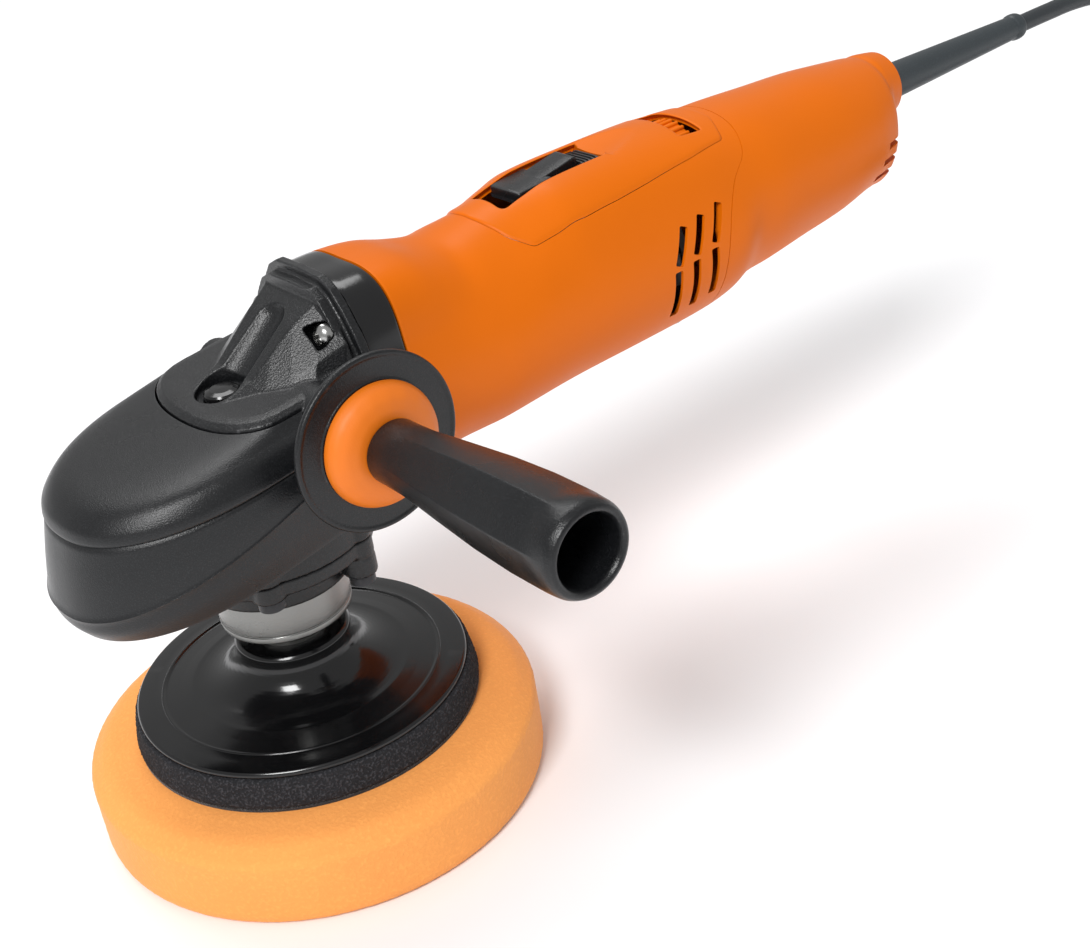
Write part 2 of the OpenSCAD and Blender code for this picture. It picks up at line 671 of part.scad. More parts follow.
module stator_core() {
  color(grey) union() {
    ring_x(stator_x, stator_x + stator_l, stator_r, stator_r - 5);
    intersection() {
      ring_x(stator_x, stator_x + stator_l, stator_r - 4, armature_r + 0.7);
      union() {
        box([stator_x, -40, motor_z - 9], [stator_x + stator_l, 40, motor_z + 9]);
        intersection() {
          rod_x(stator_x, stator_x + stator_l, armature_r + 3);
          box([stator_x, -40, motor_z - 16], [stator_x + stator_l, 40, motor_z + 16]);
        }
      }
    }
  }
}
module field_coils() {
  end = 6;
  color(copper) intersection() {
    ring_x(stator_x - end, stator_x + stator_l + end, stator_r - 5.3, armature_r + 3.3);
    difference() {
      box([stator_x - end, -40, motor_z - 16], [stator_x + stator_l + end, 40, motor_z + 16]);
      box([stator_x - 0.3, -41, motor_z - 9.3], [stator_x + stator_l + 0.3, 41, motor_z + 9.3]);
      box([stator_x - 10, -15, motor_z - 20], [stator_x + stator_l + 10, 15, motor_z + 20]);
    }
  }
}
module brush_carrier() {
  color(black) difference() {
    union() {
      rod_x(rear_bearing_x - 3, rear_bearing_x, 27.4);
      rod_x(rear_bearing_x, rear_bearing_x + bearing_608[2], 13.5);
    }
    rod_x(rear_bearing_x, rear_bearing_x + 8, bearing_608[0]);
    rod_x(rear_bearing_x - 4, rear_bearing_x + 1, 7);
    for (a = [45:90:315]) translate([0, 0, motor_z]) rotate([a, 0, 0])
      translate([0, 0, 20.5 - motor_z]) rod_x(rear_bearing_x - 4, rear_bearing_x + 1, 5);
    box([rear_bearing_x - 4, -9.6, motor_z + 14.5], [rear_bearing_x + 9, 9.6, motor_z + 40]);
  }
}
module both_sides() {
  children();
  mirror([0, 1, 0]) children();
}
module brush_holders() {
  color(black) both_sides() difference() {
    union() {
      box([brush_x - 2, 12.5, motor_z - 5.5], [brush_x + 9, 28.5, motor_z + 5.5]);
      box([brush_x + 9, 15, motor_z - 5.5], [rear_bearing_x - 3, 26, motor_z + 5.5]);
    }
    box([brush_x - 0.2, 10, motor_z - 3.2], [brush_x + 7.2, 27, motor_z + 3.2]);
  }
}
module carbon_brushes() {
  color(grey) both_sides() box([brush_x, 11.1, motor_z - 3], [brush_x + 7, 21, motor_z + 3]);
}
module brush_springs() {
  color(steel) both_sides() translate([brush_x + 3.5, 21, motor_z]) rotate([-90, 0, 0])
    for (i = [0:4]) translate([0, 0, 0.58 + i * 1.08]) rotate_extrude($fn = 32) translate([2.2, 0]) circle(r = 0.56, $fn = 16);
}

// ---------------------------------------------------------------- housings, switch and dial

module panel_outline(gap) {
  half = [
    [93, 4], [94.4, 9.5], [97.2, 16.4], [103, 22.4], [113.5, 23.6], [124, 24.3], [138, 24], [152.5, 23.2],
    [174.5, 21.5], [190.5, 19.2], [195, 9]
  ];
  offset(delta = -gap) polygon(concat(half, [for (i = [len(half) - 1:-1:0]) [half[i][0], -half[i][1]]]));
}
module panel_prism(gap) {
  translate([0, 0, motor_z + 16]) linear_extrude(40) panel_outline(gap);
}
module body_tube(stations, rear_open = true) {
  outer = [for (x = stations) skin_ring(x, 0)];
  inner = [for (i = [len(stations) - 1:-1:0]) skin_ring(stations[i], wall)];
  skin(concat(outer, inner), loop = true);
}
housing_stations = [46, 52, 58, 64, 70, 77, 85, 92, 100, 105, 110, 115, 121, 135, 150, 162, 174, 180, 186, 191, 196, 203];
cover_stations = [174, 180, 186, 191, 196, 203, 210, 220, 230, 240, 250, 258, 265, 272, 275, 278, 280.5, 283, 287, cover_end];
// Side view of the joint between the motor housing and the rear cover; the cover lies behind it
seam_line = [
  [199.2, 182], [199, 168], [195, 160.5], [189.4, 157.3], [186.3, 155], [182.5, 150], [179.3, 144], [177, 137],
  [175.8, 129.5], [175.2, 118], [175.2, 90]
];
module behind_seam() {
  translate([0, 60, hood_base]) rotate([90, 0, 0]) linear_extrude(120)
    polygon(concat(seam_line, [[cover_end + 10, 90], [cover_end + 10, 182]]));
}
module vent(i) {
  translate([vent_x[i], 0, motor_z + 2.6 + 1.2 * i]) {
    box([-1.6, 26, -18.4], [1.6, 46, -1.1]);
    rotate([0, 24, 0]) box([-1.6, 26, 1.1], [1.6, 46, 12]);
  }
}
module motor_housing() {
  color(orange) difference() {
    union() {
      body_tube(housing_stations);
      for (x = [stator_x + 2, stator_x + stator_l - 5]) ring_x(x, x + 3, 30.3, stator_r);
      intersection() {
        skin([for (x = [ring_rear, 52, 58]) skin_ring(x, 0.5)]);
        at_head_screws() rod_x(ring_rear, ring_rear + 11, 4.6, 0, 0);
      }
      intersection() {
        skin([for (x = [150, 162, 174]) skin_ring(x, 0.5)]);
        at_cover_screws() rod_z(motor_z - 32, cover_tongue_z, 5);
      }
    }
    behind_seam();
    at_head_screws() rod_x(ring_rear - 1, ring_rear + 10, 2.4, 0, 0);
    at_cover_screws() rod_z(motor_z - 32, motor_z - 27.6, 3.6);
    at_cover_screws() rod_z(motor_z - 32, motor_z - 20, 2);
    panel_prism(0);
    both_sides() for (i = [0:2]) vent(i);
  }
}
module switch_panel() {
  color(orange) difference() {
    intersection() {
      body_tube([for (x = housing_stations) if (x >= 77) x]);
      panel_prism(0.15);
    }
    behind_seam();
    box([102.4, -8.7, motor_z + 20], [148.4, 8.7, motor_z + 50]);
    box([dial_x - 5, -dial_r + 1, motor_z + 20], [dial_x + 5, dial_r - 1, motor_z + 50]);
  }
}
module slide_switch() {
  low = motor_z + 35;
  color(black) union() {
    box([110.4, -8.2, low], [147.3, 8.2, low + 1.2]);
    difference() {
      box([110.4, -7.6, low], [140, 7.6, low + 5]);
      translate([124, -9, low + 5.2]) rotate([0, 10, 0]) cube([20, 18, 6]);
    }
  }
}
module switch_link() {
  color(black) union() {
    box([120, -4, motor_z + 32.4], [147.5, 4, motor_z + 35]);
    box([145, -4, motor_z + 20], [147.5, 4, motor_z + 35]);
  }
}
module switch_module() {
  color(grey) union() {
    box([149.5, -9, motor_z + 15], [173, 9, motor_z + 30]);
    rod_x(147.5, 150, 2, 0, motor_z + 25);
  }
}
module speed_dial() {
  ribs = 30;
  color(orange) translate([0, 0, dial_z - motor_z]) difference() {
    union() {
      rod_x(dial_x - 4, dial_x + 4, dial_r - 1);
      at_slots(ribs, dial_r - 0.7) rod_x(dial_x - 4, dial_x + 4, 0.7, $fn = 12);
    }
    rod_x(dial_x - 5, dial_x + 5, 2.5 + slip);
  }
}
module speed_module() {
  color(grey) union() {
    box([214, -14, motor_z - 5], [256, 14, motor_z + 15]);
    box([188, -10, motor_z + 13], [214, 10, motor_z + 15]);
    box([188, -6, motor_z + 13], [191, 6, dial_z + 4]);
    rod_x(dial_x - 5.5, 189, 2.5, 0, dial_z);
  }
}
// The two screws of the rear cover, driven from below into the cover's tongues inside the motor housing
module at_cover_screws() {
  for (y = [-8, 8]) translate([screw_x, y, 0]) children();
}
cover_tongue_z = motor_z - 24;
module rear_cover() {
  color(orange) difference() {
    union() {
      difference() {
        skin([for (x = cover_stations) skin_ring(x, 0)]);
        skin([for (x = cover_stations) if (x <= 275) skin_ring(x == 174 ? x - 0.5 : x, wall)]);
      }
      for (y = [-8, 8]) {
        box([163.6, y - 5, cover_tongue_z], [190, y + 5, cover_tongue_z + 6]);
        box([178, y - 3, motor_z - 26.5], [190, y + 3, cover_tongue_z]);
      }
    }
    difference() {
      skin([for (x = [170, 174, 180, 186, 191, 196, 203]) skin_ring(x, -0.2)]);
      behind_seam();
      box([159, -14, cover_tongue_z], [191, 14, cover_tongue_z + 7]);
    }
    panel_prism(0);
    at_cover_screws() rod_z(cover_tongue_z - 1, cover_tongue_z + 7, 2);
    rod_x(270, cover_end + 5, relief_r, 0, exit_z);
    both_sides() for (i = [0:2]) box([270 - 2.5 * i, 4, motor_z + 4 - 6 * i], [300, 30, motor_z + 6.6 - 6 * i]);
  }
}
module cover_screws() {
  color(steel) at_cover_screws() difference() {
    union() {
      rod_z(motor_z - 29.4, motor_z - 27.6, 3.3);
      rod_z(motor_z - 27.6, cover_tongue_z + 6, 2);
    }
    rod_z(motor_z - 30, motor_z - 28.4, 1.6, $fn = 6);
  }
}
module cord_clamp() {
  color(black) difference() {
    box([clamp_x, -9, exit_z - 12], [clamp_x + 7, 9, exit_z + 5]);
    rod_x(clamp_x - 1, clamp_x + 8, cord_d / 2, 0, exit_z);
  }
}
module strain_relief() {
  end = cover_end + relief_l;
  tip = cord_d / 2 + 1.25;
  start = clamp_x + 7.5;
  profile = [
    [0, start], [8.5, start], [8.5, start + 3.5], [relief_r, start + 3.5], [relief_r, cover_end],
    [relief_r, cover_end + 3], [tip, end - 6], [tip + 0.4, end - 4.5], [tip + 0.6, end - 3],
    [tip + 0.4, end - 1.2], [tip - 0.2, end], [0, end]
  ];
  color(grey) translate([0, 0, exit_z]) rotate([0, 90, 0]) rotate_extrude() polygon(profile);
}

// ---------------------------------------------------------------- side handle

// Children turn round the handle's axis: their +Z runs outwards, towards -Y
module on_handle_axis() {
  translate([handle_x, 0, handle_z]) rotate([90, 0, 0]) children();
}
module handle_stud() {
  color(steel) on_handle_axis() union() {
    translate([0, 0, boss_end - 12]) cylinder(h = 42, r = handle_thread_r - slip);
    translate([0, 0, boss_end]) cylinder(h = 6, r = 14);
  }
}
module handle_guard() {
  color(black) on_handle_axis() translate([0, 0, boss_end + 6]) rotate_extrude($fn = 96)
    polygon([[4, 0], [guard_r - 0.6, 0], [guard_r, 0.7], [guard_r, 1.8], [guard_r - 0.6, 2.4], [4, 2.4]]);
}
module handle_ring() {
  color(orange) on_handle_axis() translate([0, 0, boss_end + 8.4]) rotate_extrude()
    polygon([[4, 0], [18.6, 0], [18.8, 2], [17.6, 4.6], [15, 6.4], [11.5, 7.4], [4, 7.4]]);
}
module handle_grip() {
  start = boss_end + 15.8;
  color(black) on_handle_axis() difference() {
    rotate_extrude() polygon([
      [0, start], [9.6, start], [9.9, start + 10], [11.2, start + 26], [12.9, start + 46], [13.7, start + 62],
      [13.7, grip_end - 6], [13, grip_end - 1.6], [12, grip_end], [0, grip_end]
    ]);
    translate([0, 0, start - 1]) cylinder(h = boss_end + 30.1 - start + 1, r = handle_thread_r);
    translate([0, 0, grip_end - 62]) cylinder(h = 70, r = 10.1);
  }
}

// ---------------------------------------------------------------- cord

module cord() {
  color(grey) swept(cord_route, cord_d / 2, 10, [0, 0, 1]);
}
module coil_section(grow) {
  square_half = coil_half + grow;
  translate([coil_mean_r - square_half, coil_half - square_half + tie_t]) square(2 * square_half);
}
module cord_coil() {
  r = 3;
  low = tie_t;
  high = tie_t + 2 * coil_half;
  inside = coil_mean_r - coil_half;
  outside = coil_mean_r + coil_half;
  color(grey) translate([coil_centre[0], coil_centre[1], 0]) rotate_extrude($fn = 96) polygon([
    [inside + r, low], [outside - r, low], [outside, low + r], [outside, high - r], [outside - r, high],
    [inside + r, high], [inside, high - r], [inside, low + r]
  ]);
}
module cord_tie() {
  width = 18;
  color(black) translate([coil_centre[0], coil_centre[1], 0]) rotate(150) rotate_extrude(angle = width, $fn = 96)
    difference() {
      coil_section(tie_t);
      coil_section(0);
    }
}
module mains_plug() {
  at = [coil_centre[0] - 30, coil_centre[1] + 26, 2 * (coil_half + tie_t) + 8.4];
  color(black) translate(at) union() {
    intersection() {
      translate([-17.5, -14, -8]) cube([35, 36, 16]);
      translate([0, 4, -9]) cylinder(h = 18, r = 20);
    }
    rotate([90, 0, 0]) cylinder(h = 40, r1 = 8, r2 = 5, $fn = 32);
  }
  color(steel) translate(at)
    for (x = [-9.5, 9.5]) translate([x, 21, 0]) rotate([-90, 0, 0]) cylinder(h = 19, r = 2.4);
}

polishing_sponge();
hook_disc();
backing_foam();
backing_plate();
plate_insert();
spindle();
crown_wheel();
spindle_circlip();
lower_bearing();
upper_bearing();
neck_collar();
bearing_flange();
flange_screws();
gear_housing();
grip_hood();
lock_button();
lock_pin();
lock_spring();
pinion_shaft();
bevel_pinion();
spur_wheel();
pinion_bearing();
pinion_needle_bearing();
head_screws();
gear_ring();
bearing_shield();
armature_shaft();
armature_pinion();
armature_core();
armature_windings();
commutator();
cooling_fan();
front_bearing();
rear_bearing();
fan_baffle();
stator_core();
field_coils();
brush_carrier();
brush_holders();
carbon_brushes();
brush_springs();
motor_housing();
switch_panel();
slide_switch();
switch_link();
switch_module();
speed_dial();
speed_module();
rear_cover();
cover_screws();
cord_clamp();
strain_relief();
handle_stud();
handle_guard();
handle_ring();
handle_grip();
cord();
cord_coil();
cord_tie();
mains_plug();
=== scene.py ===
"""A rotary polisher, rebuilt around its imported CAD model. Lengths in the tables are in millimetres."""

import json
import math

import bmesh
import bpy
import numpy as np
from mathutils import Matrix, Vector, noise
from mathutils.geometry import delaunay_2d_cdt


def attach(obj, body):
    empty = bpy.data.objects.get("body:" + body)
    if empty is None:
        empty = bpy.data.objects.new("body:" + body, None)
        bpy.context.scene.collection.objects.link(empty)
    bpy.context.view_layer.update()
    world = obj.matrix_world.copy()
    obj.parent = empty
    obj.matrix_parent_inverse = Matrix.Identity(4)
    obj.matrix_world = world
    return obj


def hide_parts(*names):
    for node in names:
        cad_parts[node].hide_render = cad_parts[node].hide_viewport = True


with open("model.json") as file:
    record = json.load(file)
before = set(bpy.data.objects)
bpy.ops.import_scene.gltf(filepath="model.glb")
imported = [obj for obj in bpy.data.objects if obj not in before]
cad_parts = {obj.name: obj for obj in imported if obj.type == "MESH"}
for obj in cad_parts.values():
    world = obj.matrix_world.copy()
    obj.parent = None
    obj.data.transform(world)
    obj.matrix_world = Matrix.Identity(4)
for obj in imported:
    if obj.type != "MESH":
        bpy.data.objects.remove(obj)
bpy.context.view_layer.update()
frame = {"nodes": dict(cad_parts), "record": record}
scene = bpy.context.scene
MM = 0.001

# Heights and places that the CAD model uses
AXIS_Z = 133.0
HANDLE_X = 13.5
HANDLE_Z = 141.0
CORD_Z = 151.0
SPONGE_R = 75.0
FOAM_R = 57.5


# ------------------------------------------------------------------ camera

# Place in metres; azimuth, elevation and roll in degrees; focal length and sensor width in millimetres
CAMERA_PLACE = (-0.2060, -0.4468, 0.3729)
CAMERA_TURNS = (-35.18, 29.37, -8.99)
FOCAL_LENGTH, SENSOR_WIDTH = 58.4587, 36.0


def make_camera():
    """The camera, turned from its azimuth and elevation and then rolled about its own axis."""
    azimuth, elevation, roll = (math.radians(a) for a in CAMERA_TURNS)
    level = math.cos(elevation)
    back = Vector((math.sin(azimuth) * level, -math.cos(azimuth) * level, math.sin(elevation)))
    right = Vector((math.cos(azimuth), math.sin(azimuth), 0))
    up = back.cross(right)
    rolled_right = math.cos(roll) * right + math.sin(roll) * up
    rolled_up = -math.sin(roll) * right + math.cos(roll) * up
    data = bpy.data.cameras.new("camera")
    data.sensor_width = SENSOR_WIDTH
    data.lens = FOCAL_LENGTH
    camera = bpy.data.objects.new("camera", data)
    turn = Matrix((rolled_right, rolled_up, back)).transposed().to_4x4()
    camera.matrix_world = Matrix.Translation(CAMERA_PLACE) @ turn
    data.clip_end = 50
    scene.collection.objects.link(camera)
    scene.camera = camera


make_camera()


# ------------------------------------------------------------------ materials


def nodes_of(material):
    """A material's node tree and its shader."""
    material.use_nodes = True
    tree = material.node_tree
    shader = next(n for n in tree.nodes if n.type == "BSDF_PRINCIPLED")
    return tree, shader


def noise_node(tree, coordinates, scale, detail, stretch=None):
    """Noise, stretched along the axes if asked."""
    node = tree.nodes.new("ShaderNodeTexNoise")
    node.inputs["Scale"].default_value = scale
    node.inputs["Detail"].default_value = detail
    if stretch:
        mapping = tree.nodes.new("ShaderNodeMapping")
        mapping.inputs["Scale"].default_value = stretch
        tree.links.new(coordinates, mapping.inputs["Vector"])
        coordinates = mapping.outputs["Vector"]
    tree.links.new(coordinates, node.inputs["Vector"])
    return node.outputs["Fac"]


def span_node(tree, value, low, high, source=(0.3, 0.7)):
    """A value brought from its source span to low ... high."""
    node = tree.nodes.new("ShaderNodeMapRange")
    node.inputs["From Min"].default_value, node.inputs["From Max"].default_value = source
    node.inputs["To Min"].default_value, node.inputs["To Max"].default_value = low, high
    tree.links.new(value, node.inputs["Value"])
    return node.outputs["Result"]


def mix_node(tree, factor, first, second):
    """A mix of two colours or colour sockets."""
    node = tree.nodes.new("ShaderNodeMix")
    node.data_type = "RGBA"
    for name, value in (("A", first), ("B", second)):
        socket = next(s for s in node.inputs if s.name == name and s.type == "RGBA")
        if isinstance(value, tuple):
            socket.default_value = (*value, 1)
        else:
            tree.links.new(value, socket)
    tree.links.new(factor, node.inputs["Factor"])
    return next(s for s in node.outputs if s.type == "RGBA")


def surface(name, colour, rough, grain, depth, shade=0.85, swing=0.06, metal=0.0, coat=0.0, sheen=0.0,
            edge_highlight=0.0, stretch=None, specular=0.5, speckle=0.0):
    """A moulded, cast or turned surface, with its grain's frequency per metre and its depth in metres."""
    material = bpy.data.materials.new(name)
    tree, shader = nodes_of(material)
    coordinates = tree.nodes.new("ShaderNodeTexCoord").outputs["Object"]
    broad = noise_node(tree, coordinates, 28.0, 4.0)
    fine = noise_node(tree, coordinates, grain, 2.0, stretch)
    dark = tuple(c * shade for c in colour)
    tint = mix_node(tree, span_node(tree, broad, 0.0, 1.0), dark, colour)
    if speckle:
        light = tuple(min(c * (1 + speckle) + 0.01 * speckle, 1.0) for c in colour)
        tint = mix_node(tree, span_node(tree, fine, 0.0, 1.0, (0.5, 0.8)), tint, light)
    # Convex edges are painted lighter by their pointiness: a painted edge highlight.
    if edge_highlight:
        edge = tree.nodes.new("ShaderNodeNewGeometry").outputs["Pointiness"]
        light = tuple(min(c * (1 + edge_highlight) + 0.02 * edge_highlight, 1.0) for c in colour)
        tint = mix_node(tree, span_node(tree, edge, 0.0, 0.6, (0.53, 0.62)), tint, light)
    tree.links.new(tint, shader.inputs["Base Color"])
    roughness = span_node(tree, broad, max(rough - swing, 0.03), rough + swing)
    tree.links.new(roughness, shader.inputs["Roughness"])
    bump = tree.nodes.new("ShaderNodeBump")
    bump.inputs["Strength"].default_value = 1.0
    bump.inputs["Distance"].default_value = depth
    tree.links.new(fine, bump.inputs["Height"])
    tree.links.new(bump.outputs["Normal"], shader.inputs["Normal"])
    shader.inputs["Metallic"].default_value = metal
    shader.inputs["Specular IOR Level"].default_value = specular
    if coat:
        shader.inputs["Coat Weight"].default_value = coat
        shader.inputs["Coat Roughness"].default_value = 0.12
    if sheen:
        shader.inputs["Sheen Weight"].default_value = sheen
        shader.inputs["Sheen Roughness"].default_value = 0.4
    return material


MATERIALS = {
    "pale_foam": surface("pale_foam", (0.93, 0.37, 0.095), 0.9, 900, 0.00022, 0.93, sheen=0.15, specular=0.2,
                         speckle=0.12),
    "black_foam": surface("black_foam", (0.022, 0.022, 0.025), 0.92, 1300, 0.0008, 0.6, specular=0.25,
                          speckle=1.6),
    "hook_pile": surface("hook_pile", (0.02, 0.02, 0.022), 0.95, 2400, 0.0005, 0.6, sheen=0.3, speckle=0.8),
    "black_plastic": surface("black_plastic", (0.006, 0.0065, 0.0075), 0.3, 2600, 0.0001, 0.8, edge_highlight=1.5,
                             specular=0.42, speckle=0.9),
    "gloss_black_plastic": surface("gloss_black_plastic", (0.005, 0.005, 0.0055), 0.18, 1500, 0.00001, 0.8,
                                   coat=0.25, edge_highlight=0.5, specular=0.4),
    "orange_plastic": surface("orange_plastic", (0.7, 0.14, 0.0), 0.42, 2200, 0.000016, 0.96, edge_highlight=0.12,
                              specular=0.16),
    "soft_orange": surface("soft_orange", (0.78, 0.175, 0.003), 0.5, 1800, 0.00003, 0.94, edge_highlight=0.1),
    "cast_black": surface("cast_black", (0.007, 0.0075, 0.0085), 0.33, 1900, 0.00014, 0.75, edge_highlight=2.0,
                          specular=0.45, speckle=1.0),
    "steel": surface("steel", (0.5, 0.5, 0.49), 0.26, 900, 0.000012, 0.85, metal=1.0, stretch=(1, 1, 6)),
    "bright_collar": surface("bright_collar", (0.27, 0.27, 0.26), 0.24, 700, 0.00002, 0.8, metal=1.0,
                             stretch=(0.2, 0.2, 8)),
    "black_steel": surface("black_steel", (0.02, 0.02, 0.022), 0.35, 1500, 0.00003, 0.8, metal=0.6, edge_highlight=0.8),
    "lamination": surface("lamination", (0.32, 0.32, 0.33), 0.45, 1500, 0.00004, 0.7, metal=1.0,
                          stretch=(8, 1, 1)),
    "copper": surface("copper", (0.75, 0.3, 0.12), 0.32, 1500, 0.00006, 0.75, metal=1.0, stretch=(1, 4, 4)),
    "carbon": surface("carbon", (0.03, 0.03, 0.032), 0.7, 1800, 0.00006, 0.7, speckle=0.5),
    "aluminium": surface("aluminium", (0.72, 0.72, 0.73), 0.32, 1200, 0.00003, 0.85, metal=1.0),
    "grey_rubber": surface("grey_rubber", (0.028, 0.036, 0.041), 0.46, 1700, 0.00004, 0.85, edge_highlight=0.5,
                           speckle=0.25),
    "cord_rubber": surface("cord_rubber", (0.022, 0.027, 0.031), 0.48, 1900, 0.00003, 0.85, speckle=0.25),
    "electronics": surface("electronics", (0.05, 0.11, 0.08), 0.55, 1400, 0.00005, 0.7, speckle=0.4),
}
SLOT_OF = {s["node"]: s["material_slot"] for s in frame["record"]["subparts"]}
for node, shown in frame["nodes"].items():
    shown.data.materials.clear()
    shown.data.materials.append(MATERIALS[SLOT_OF[node]])


# ------------------------------------------------------------------ mesh helpers


def piece(name, points, faces, slot, body, replaced=(), sharp=32.0):
    """A mesh piece from points in millimetres that rides on a body and takes a slot's material."""
    mesh = bpy.data.meshes.new(name)
    mesh.from_pydata((np.asarray(points, float) * MM).tolist(), [], faces)
    mesh.validate()
    made = bpy.data.objects.new(name, mesh)
    scene.collection.objects.link(made)
    tidy_normals(mesh)
    return dress(made, slot, body, replaced, sharp)


def tidy_normals(mesh):
    """Joins doubled points and turns every face outwards."""
    shape = bmesh.new()
    shape.from_mesh(mesh)
    bmesh.ops.remove_doubles(shape, verts=shape.verts, dist=1e-7)
    bmesh.ops.recalc_face_normals(shape, faces=shape.faces)
    shape.to_mesh(mesh)
    shape.free()


def dress(made, slot, body, replaced=(), sharp=32.0):
    """Gives a piece its material, its shading, its body and the CAD nodes that it stands for."""
    mesh = made.data
    mesh.materials.clear()
    mesh.materials.append(MATERIALS[slot])
    mesh.shade_smooth()
    mesh.set_sharp_from_angle(angle=math.radians(sharp))
    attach(made, body)
    if replaced:
        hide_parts(*replaced)
    return made


def settle(made):
    """Turns a piece's modifiers into its mesh."""
    done = bpy.data.meshes.new_from_object(made.evaluated_get(bpy.context.evaluated_depsgraph_get()))
    made.modifiers.clear()
    made.data = done


def temporary(points, faces):
    """A tool for cutting, from points in millimetres, that combine() uses up."""
    mesh = bpy.data.meshes.new("temporary")
    mesh.from_pydata((np.asarray(points, float) * MM).tolist(), [], faces)
    tidy_normals(mesh)
    made = bpy.data.objects.new("temporary", mesh)
    scene.collection.objects.link(made)
    return made


def combine(made, tool, operation="DIFFERENCE", sharp=32.0):
    """Cuts a piece with a tool, or keeps what both share, and removes the tool."""
    step = made.modifiers.new("boolean", "BOOLEAN")
    step.operation = operation
    step.solver = "EXACT"
    step.object = tool
    settle(made)
    bpy.data.objects.remove(tool)
    made.data.shade_smooth()
    made.data.set_sharp_from_angle(angle=math.radians(sharp))


def loft(rings, closed=False):
    """Points and faces through rings of equally many points, with flat ends or closed on itself."""
    rings = [np.asarray(r, float) for r in rings]
    count, sides = len(rings), len(rings[0])
    faces = []
    for i in range(count if closed else count - 1):
        a, b = i * sides, (i + 1) % count * sides
        faces += [(a + s, a + (s + 1) % sides, b + (s + 1) % sides, b + s) for s in range(sides)]
    if not closed:
        faces += [tuple(range(sides - 1, -1, -1)), tuple((count - 1) * sides + s for s in range(sides))]
    return np.vstack(rings), faces


def join_shapes(shapes):
    """Several (points, faces) pairs as one."""
    points, faces, base = [], [], 0
    for p, f in shapes:
        points.append(np.asarray(p, float))
        faces += [tuple(i + base for i in face) for face in f]
        base += len(p)
    return np.vstack(points), faces


def prism(outline, low, high, place):
    """A prism between two levels; place turns (u, v, level) into a point."""
    return loft([[place(u, v, level) for u, v in outline] for level in (low, high)])


def rounded(profile, radius=0.4, steps=4):
    """A profile with each inner corner rounded off."""
    out = [profile[0]]
    for before, here, after in zip(profile, profile[1:], profile[2:]):
        a, b, c = (np.array(p, float) for p in (before, here, after))
        to_a, to_c = a - b, c - b
        reach = min(radius, 0.45 * np.linalg.norm(to_a), 0.45 * np.linalg.norm(to_c))
        start, end = b + to_a / np.linalg.norm(to_a) * reach, b + to_c / np.linalg.norm(to_c) * reach
        for t in np.linspace(0, 1, steps + 1):
            out.append(tuple((1 - t) ** 2 * start + 2 * t * (1 - t) * b + t**2 * end))
    return out + [profile[-1]]


def lathe(profile, place, sides=160, change=None):
    """A turned shape from (radius, distance) pairs that end on the axis at both ends, or nowhere touch it."""
    rings, poles = [], []
    turns = [2 * math.pi * s / sides for s in range(sides)]
    for radius, along in profile:
        if radius < 1e-6:
            poles.append(place(0, 0, along))
            continue
        ring = []
        for a in turns:
            r, d = change(radius, along, a) if change else (radius, along)
            ring.append(place(r * math.cos(a), r * math.sin(a), d))
        rings.append(ring)
    if not poles:
        return loft(rings, closed=True)
    points = [p for ring in rings for p in ring] + poles
    faces = []
    for i in range(len(rings) - 1):
        a, b = i * sides, (i + 1) * sides
        faces += [(a + s, a + (s + 1) % sides, b + (s + 1) % sides, b + s) for s in range(sides)]
    first, last, top = len(rings) * sides, len(rings) * sides + 1, (len(rings) - 1) * sides
    faces += [(first, (s + 1) % sides, s) for s in range(sides)]
    faces += [(last, top + s, top + (s + 1) % sides) for s in range(sides)]
    return points, faces


def upright(u, v, d):
    return (u, v, d)


def sideways(u, v, d):
    return (u, d, v)


def along_handle(u, v, d):
    return (HANDLE_X + u, -d, HANDLE_Z + v)


def along_cord(u, v, d):
    return (d, u, CORD_Z + v)


def smooth_step(t):
    t = np.clip(t, 0.0, 1.0)
    return t * t * (3 - 2 * t)


def stadium(half_width, low, high, steps=8):
    """A slot outline with round ends."""
    top = [(half_width * math.cos(a), high - half_width + half_width * math.sin(a))
           for a in np.linspace(0, math.pi, steps)]
    return top + [(-x, low + high - z) for x, z in top]


# ------------------------------------------------------------------ cord, coil, tie and plug

CORD_ROUTE = [
    (376, 0, 151), (395, 0, 151), (413, 0, 150.6), (428, 0, 148.5), (441, 0, 144), (452, 0, 137),
    (461, 0, 128.5), (469, 0, 118), (475, 0, 106.5), (480, -1, 94), (484.5, -3, 81), (489, -6, 68),
    (494, -10, 55), (499.5, -15, 43), (505, -22, 32), (510, -31, 22), (514, -41, 14), (517, -51, 9),
]
CORD_R = 3.5
COIL_X, COIL_Y = 470.0, -80.0
COIL_RINGS = (50.5, 43.5, 36.5, 29.5)
COIL_LAYERS = (4.7, 11.8, 18.9, 26.0)
# Turns that a step to the next ring takes, turns in the last ring, and the angle where the coil starts
STEP_TURNS, LAST_TURN, COIL_START = 0.16, 0.338, 31.7
POINTS_PER_TURN = 16
# The cord reaches the first ring from this far outside and above, within so many turns
LANDING_OUT, LANDING_UP, LANDING_TURNS = 4.7, 4.3, 0.2
# The last bend, from the coil's top up to the plug
TAIL_R, TAIL_SHIFT, TAIL_RISE, TAIL_STEPS = 30, 13.5, 13.2, 8


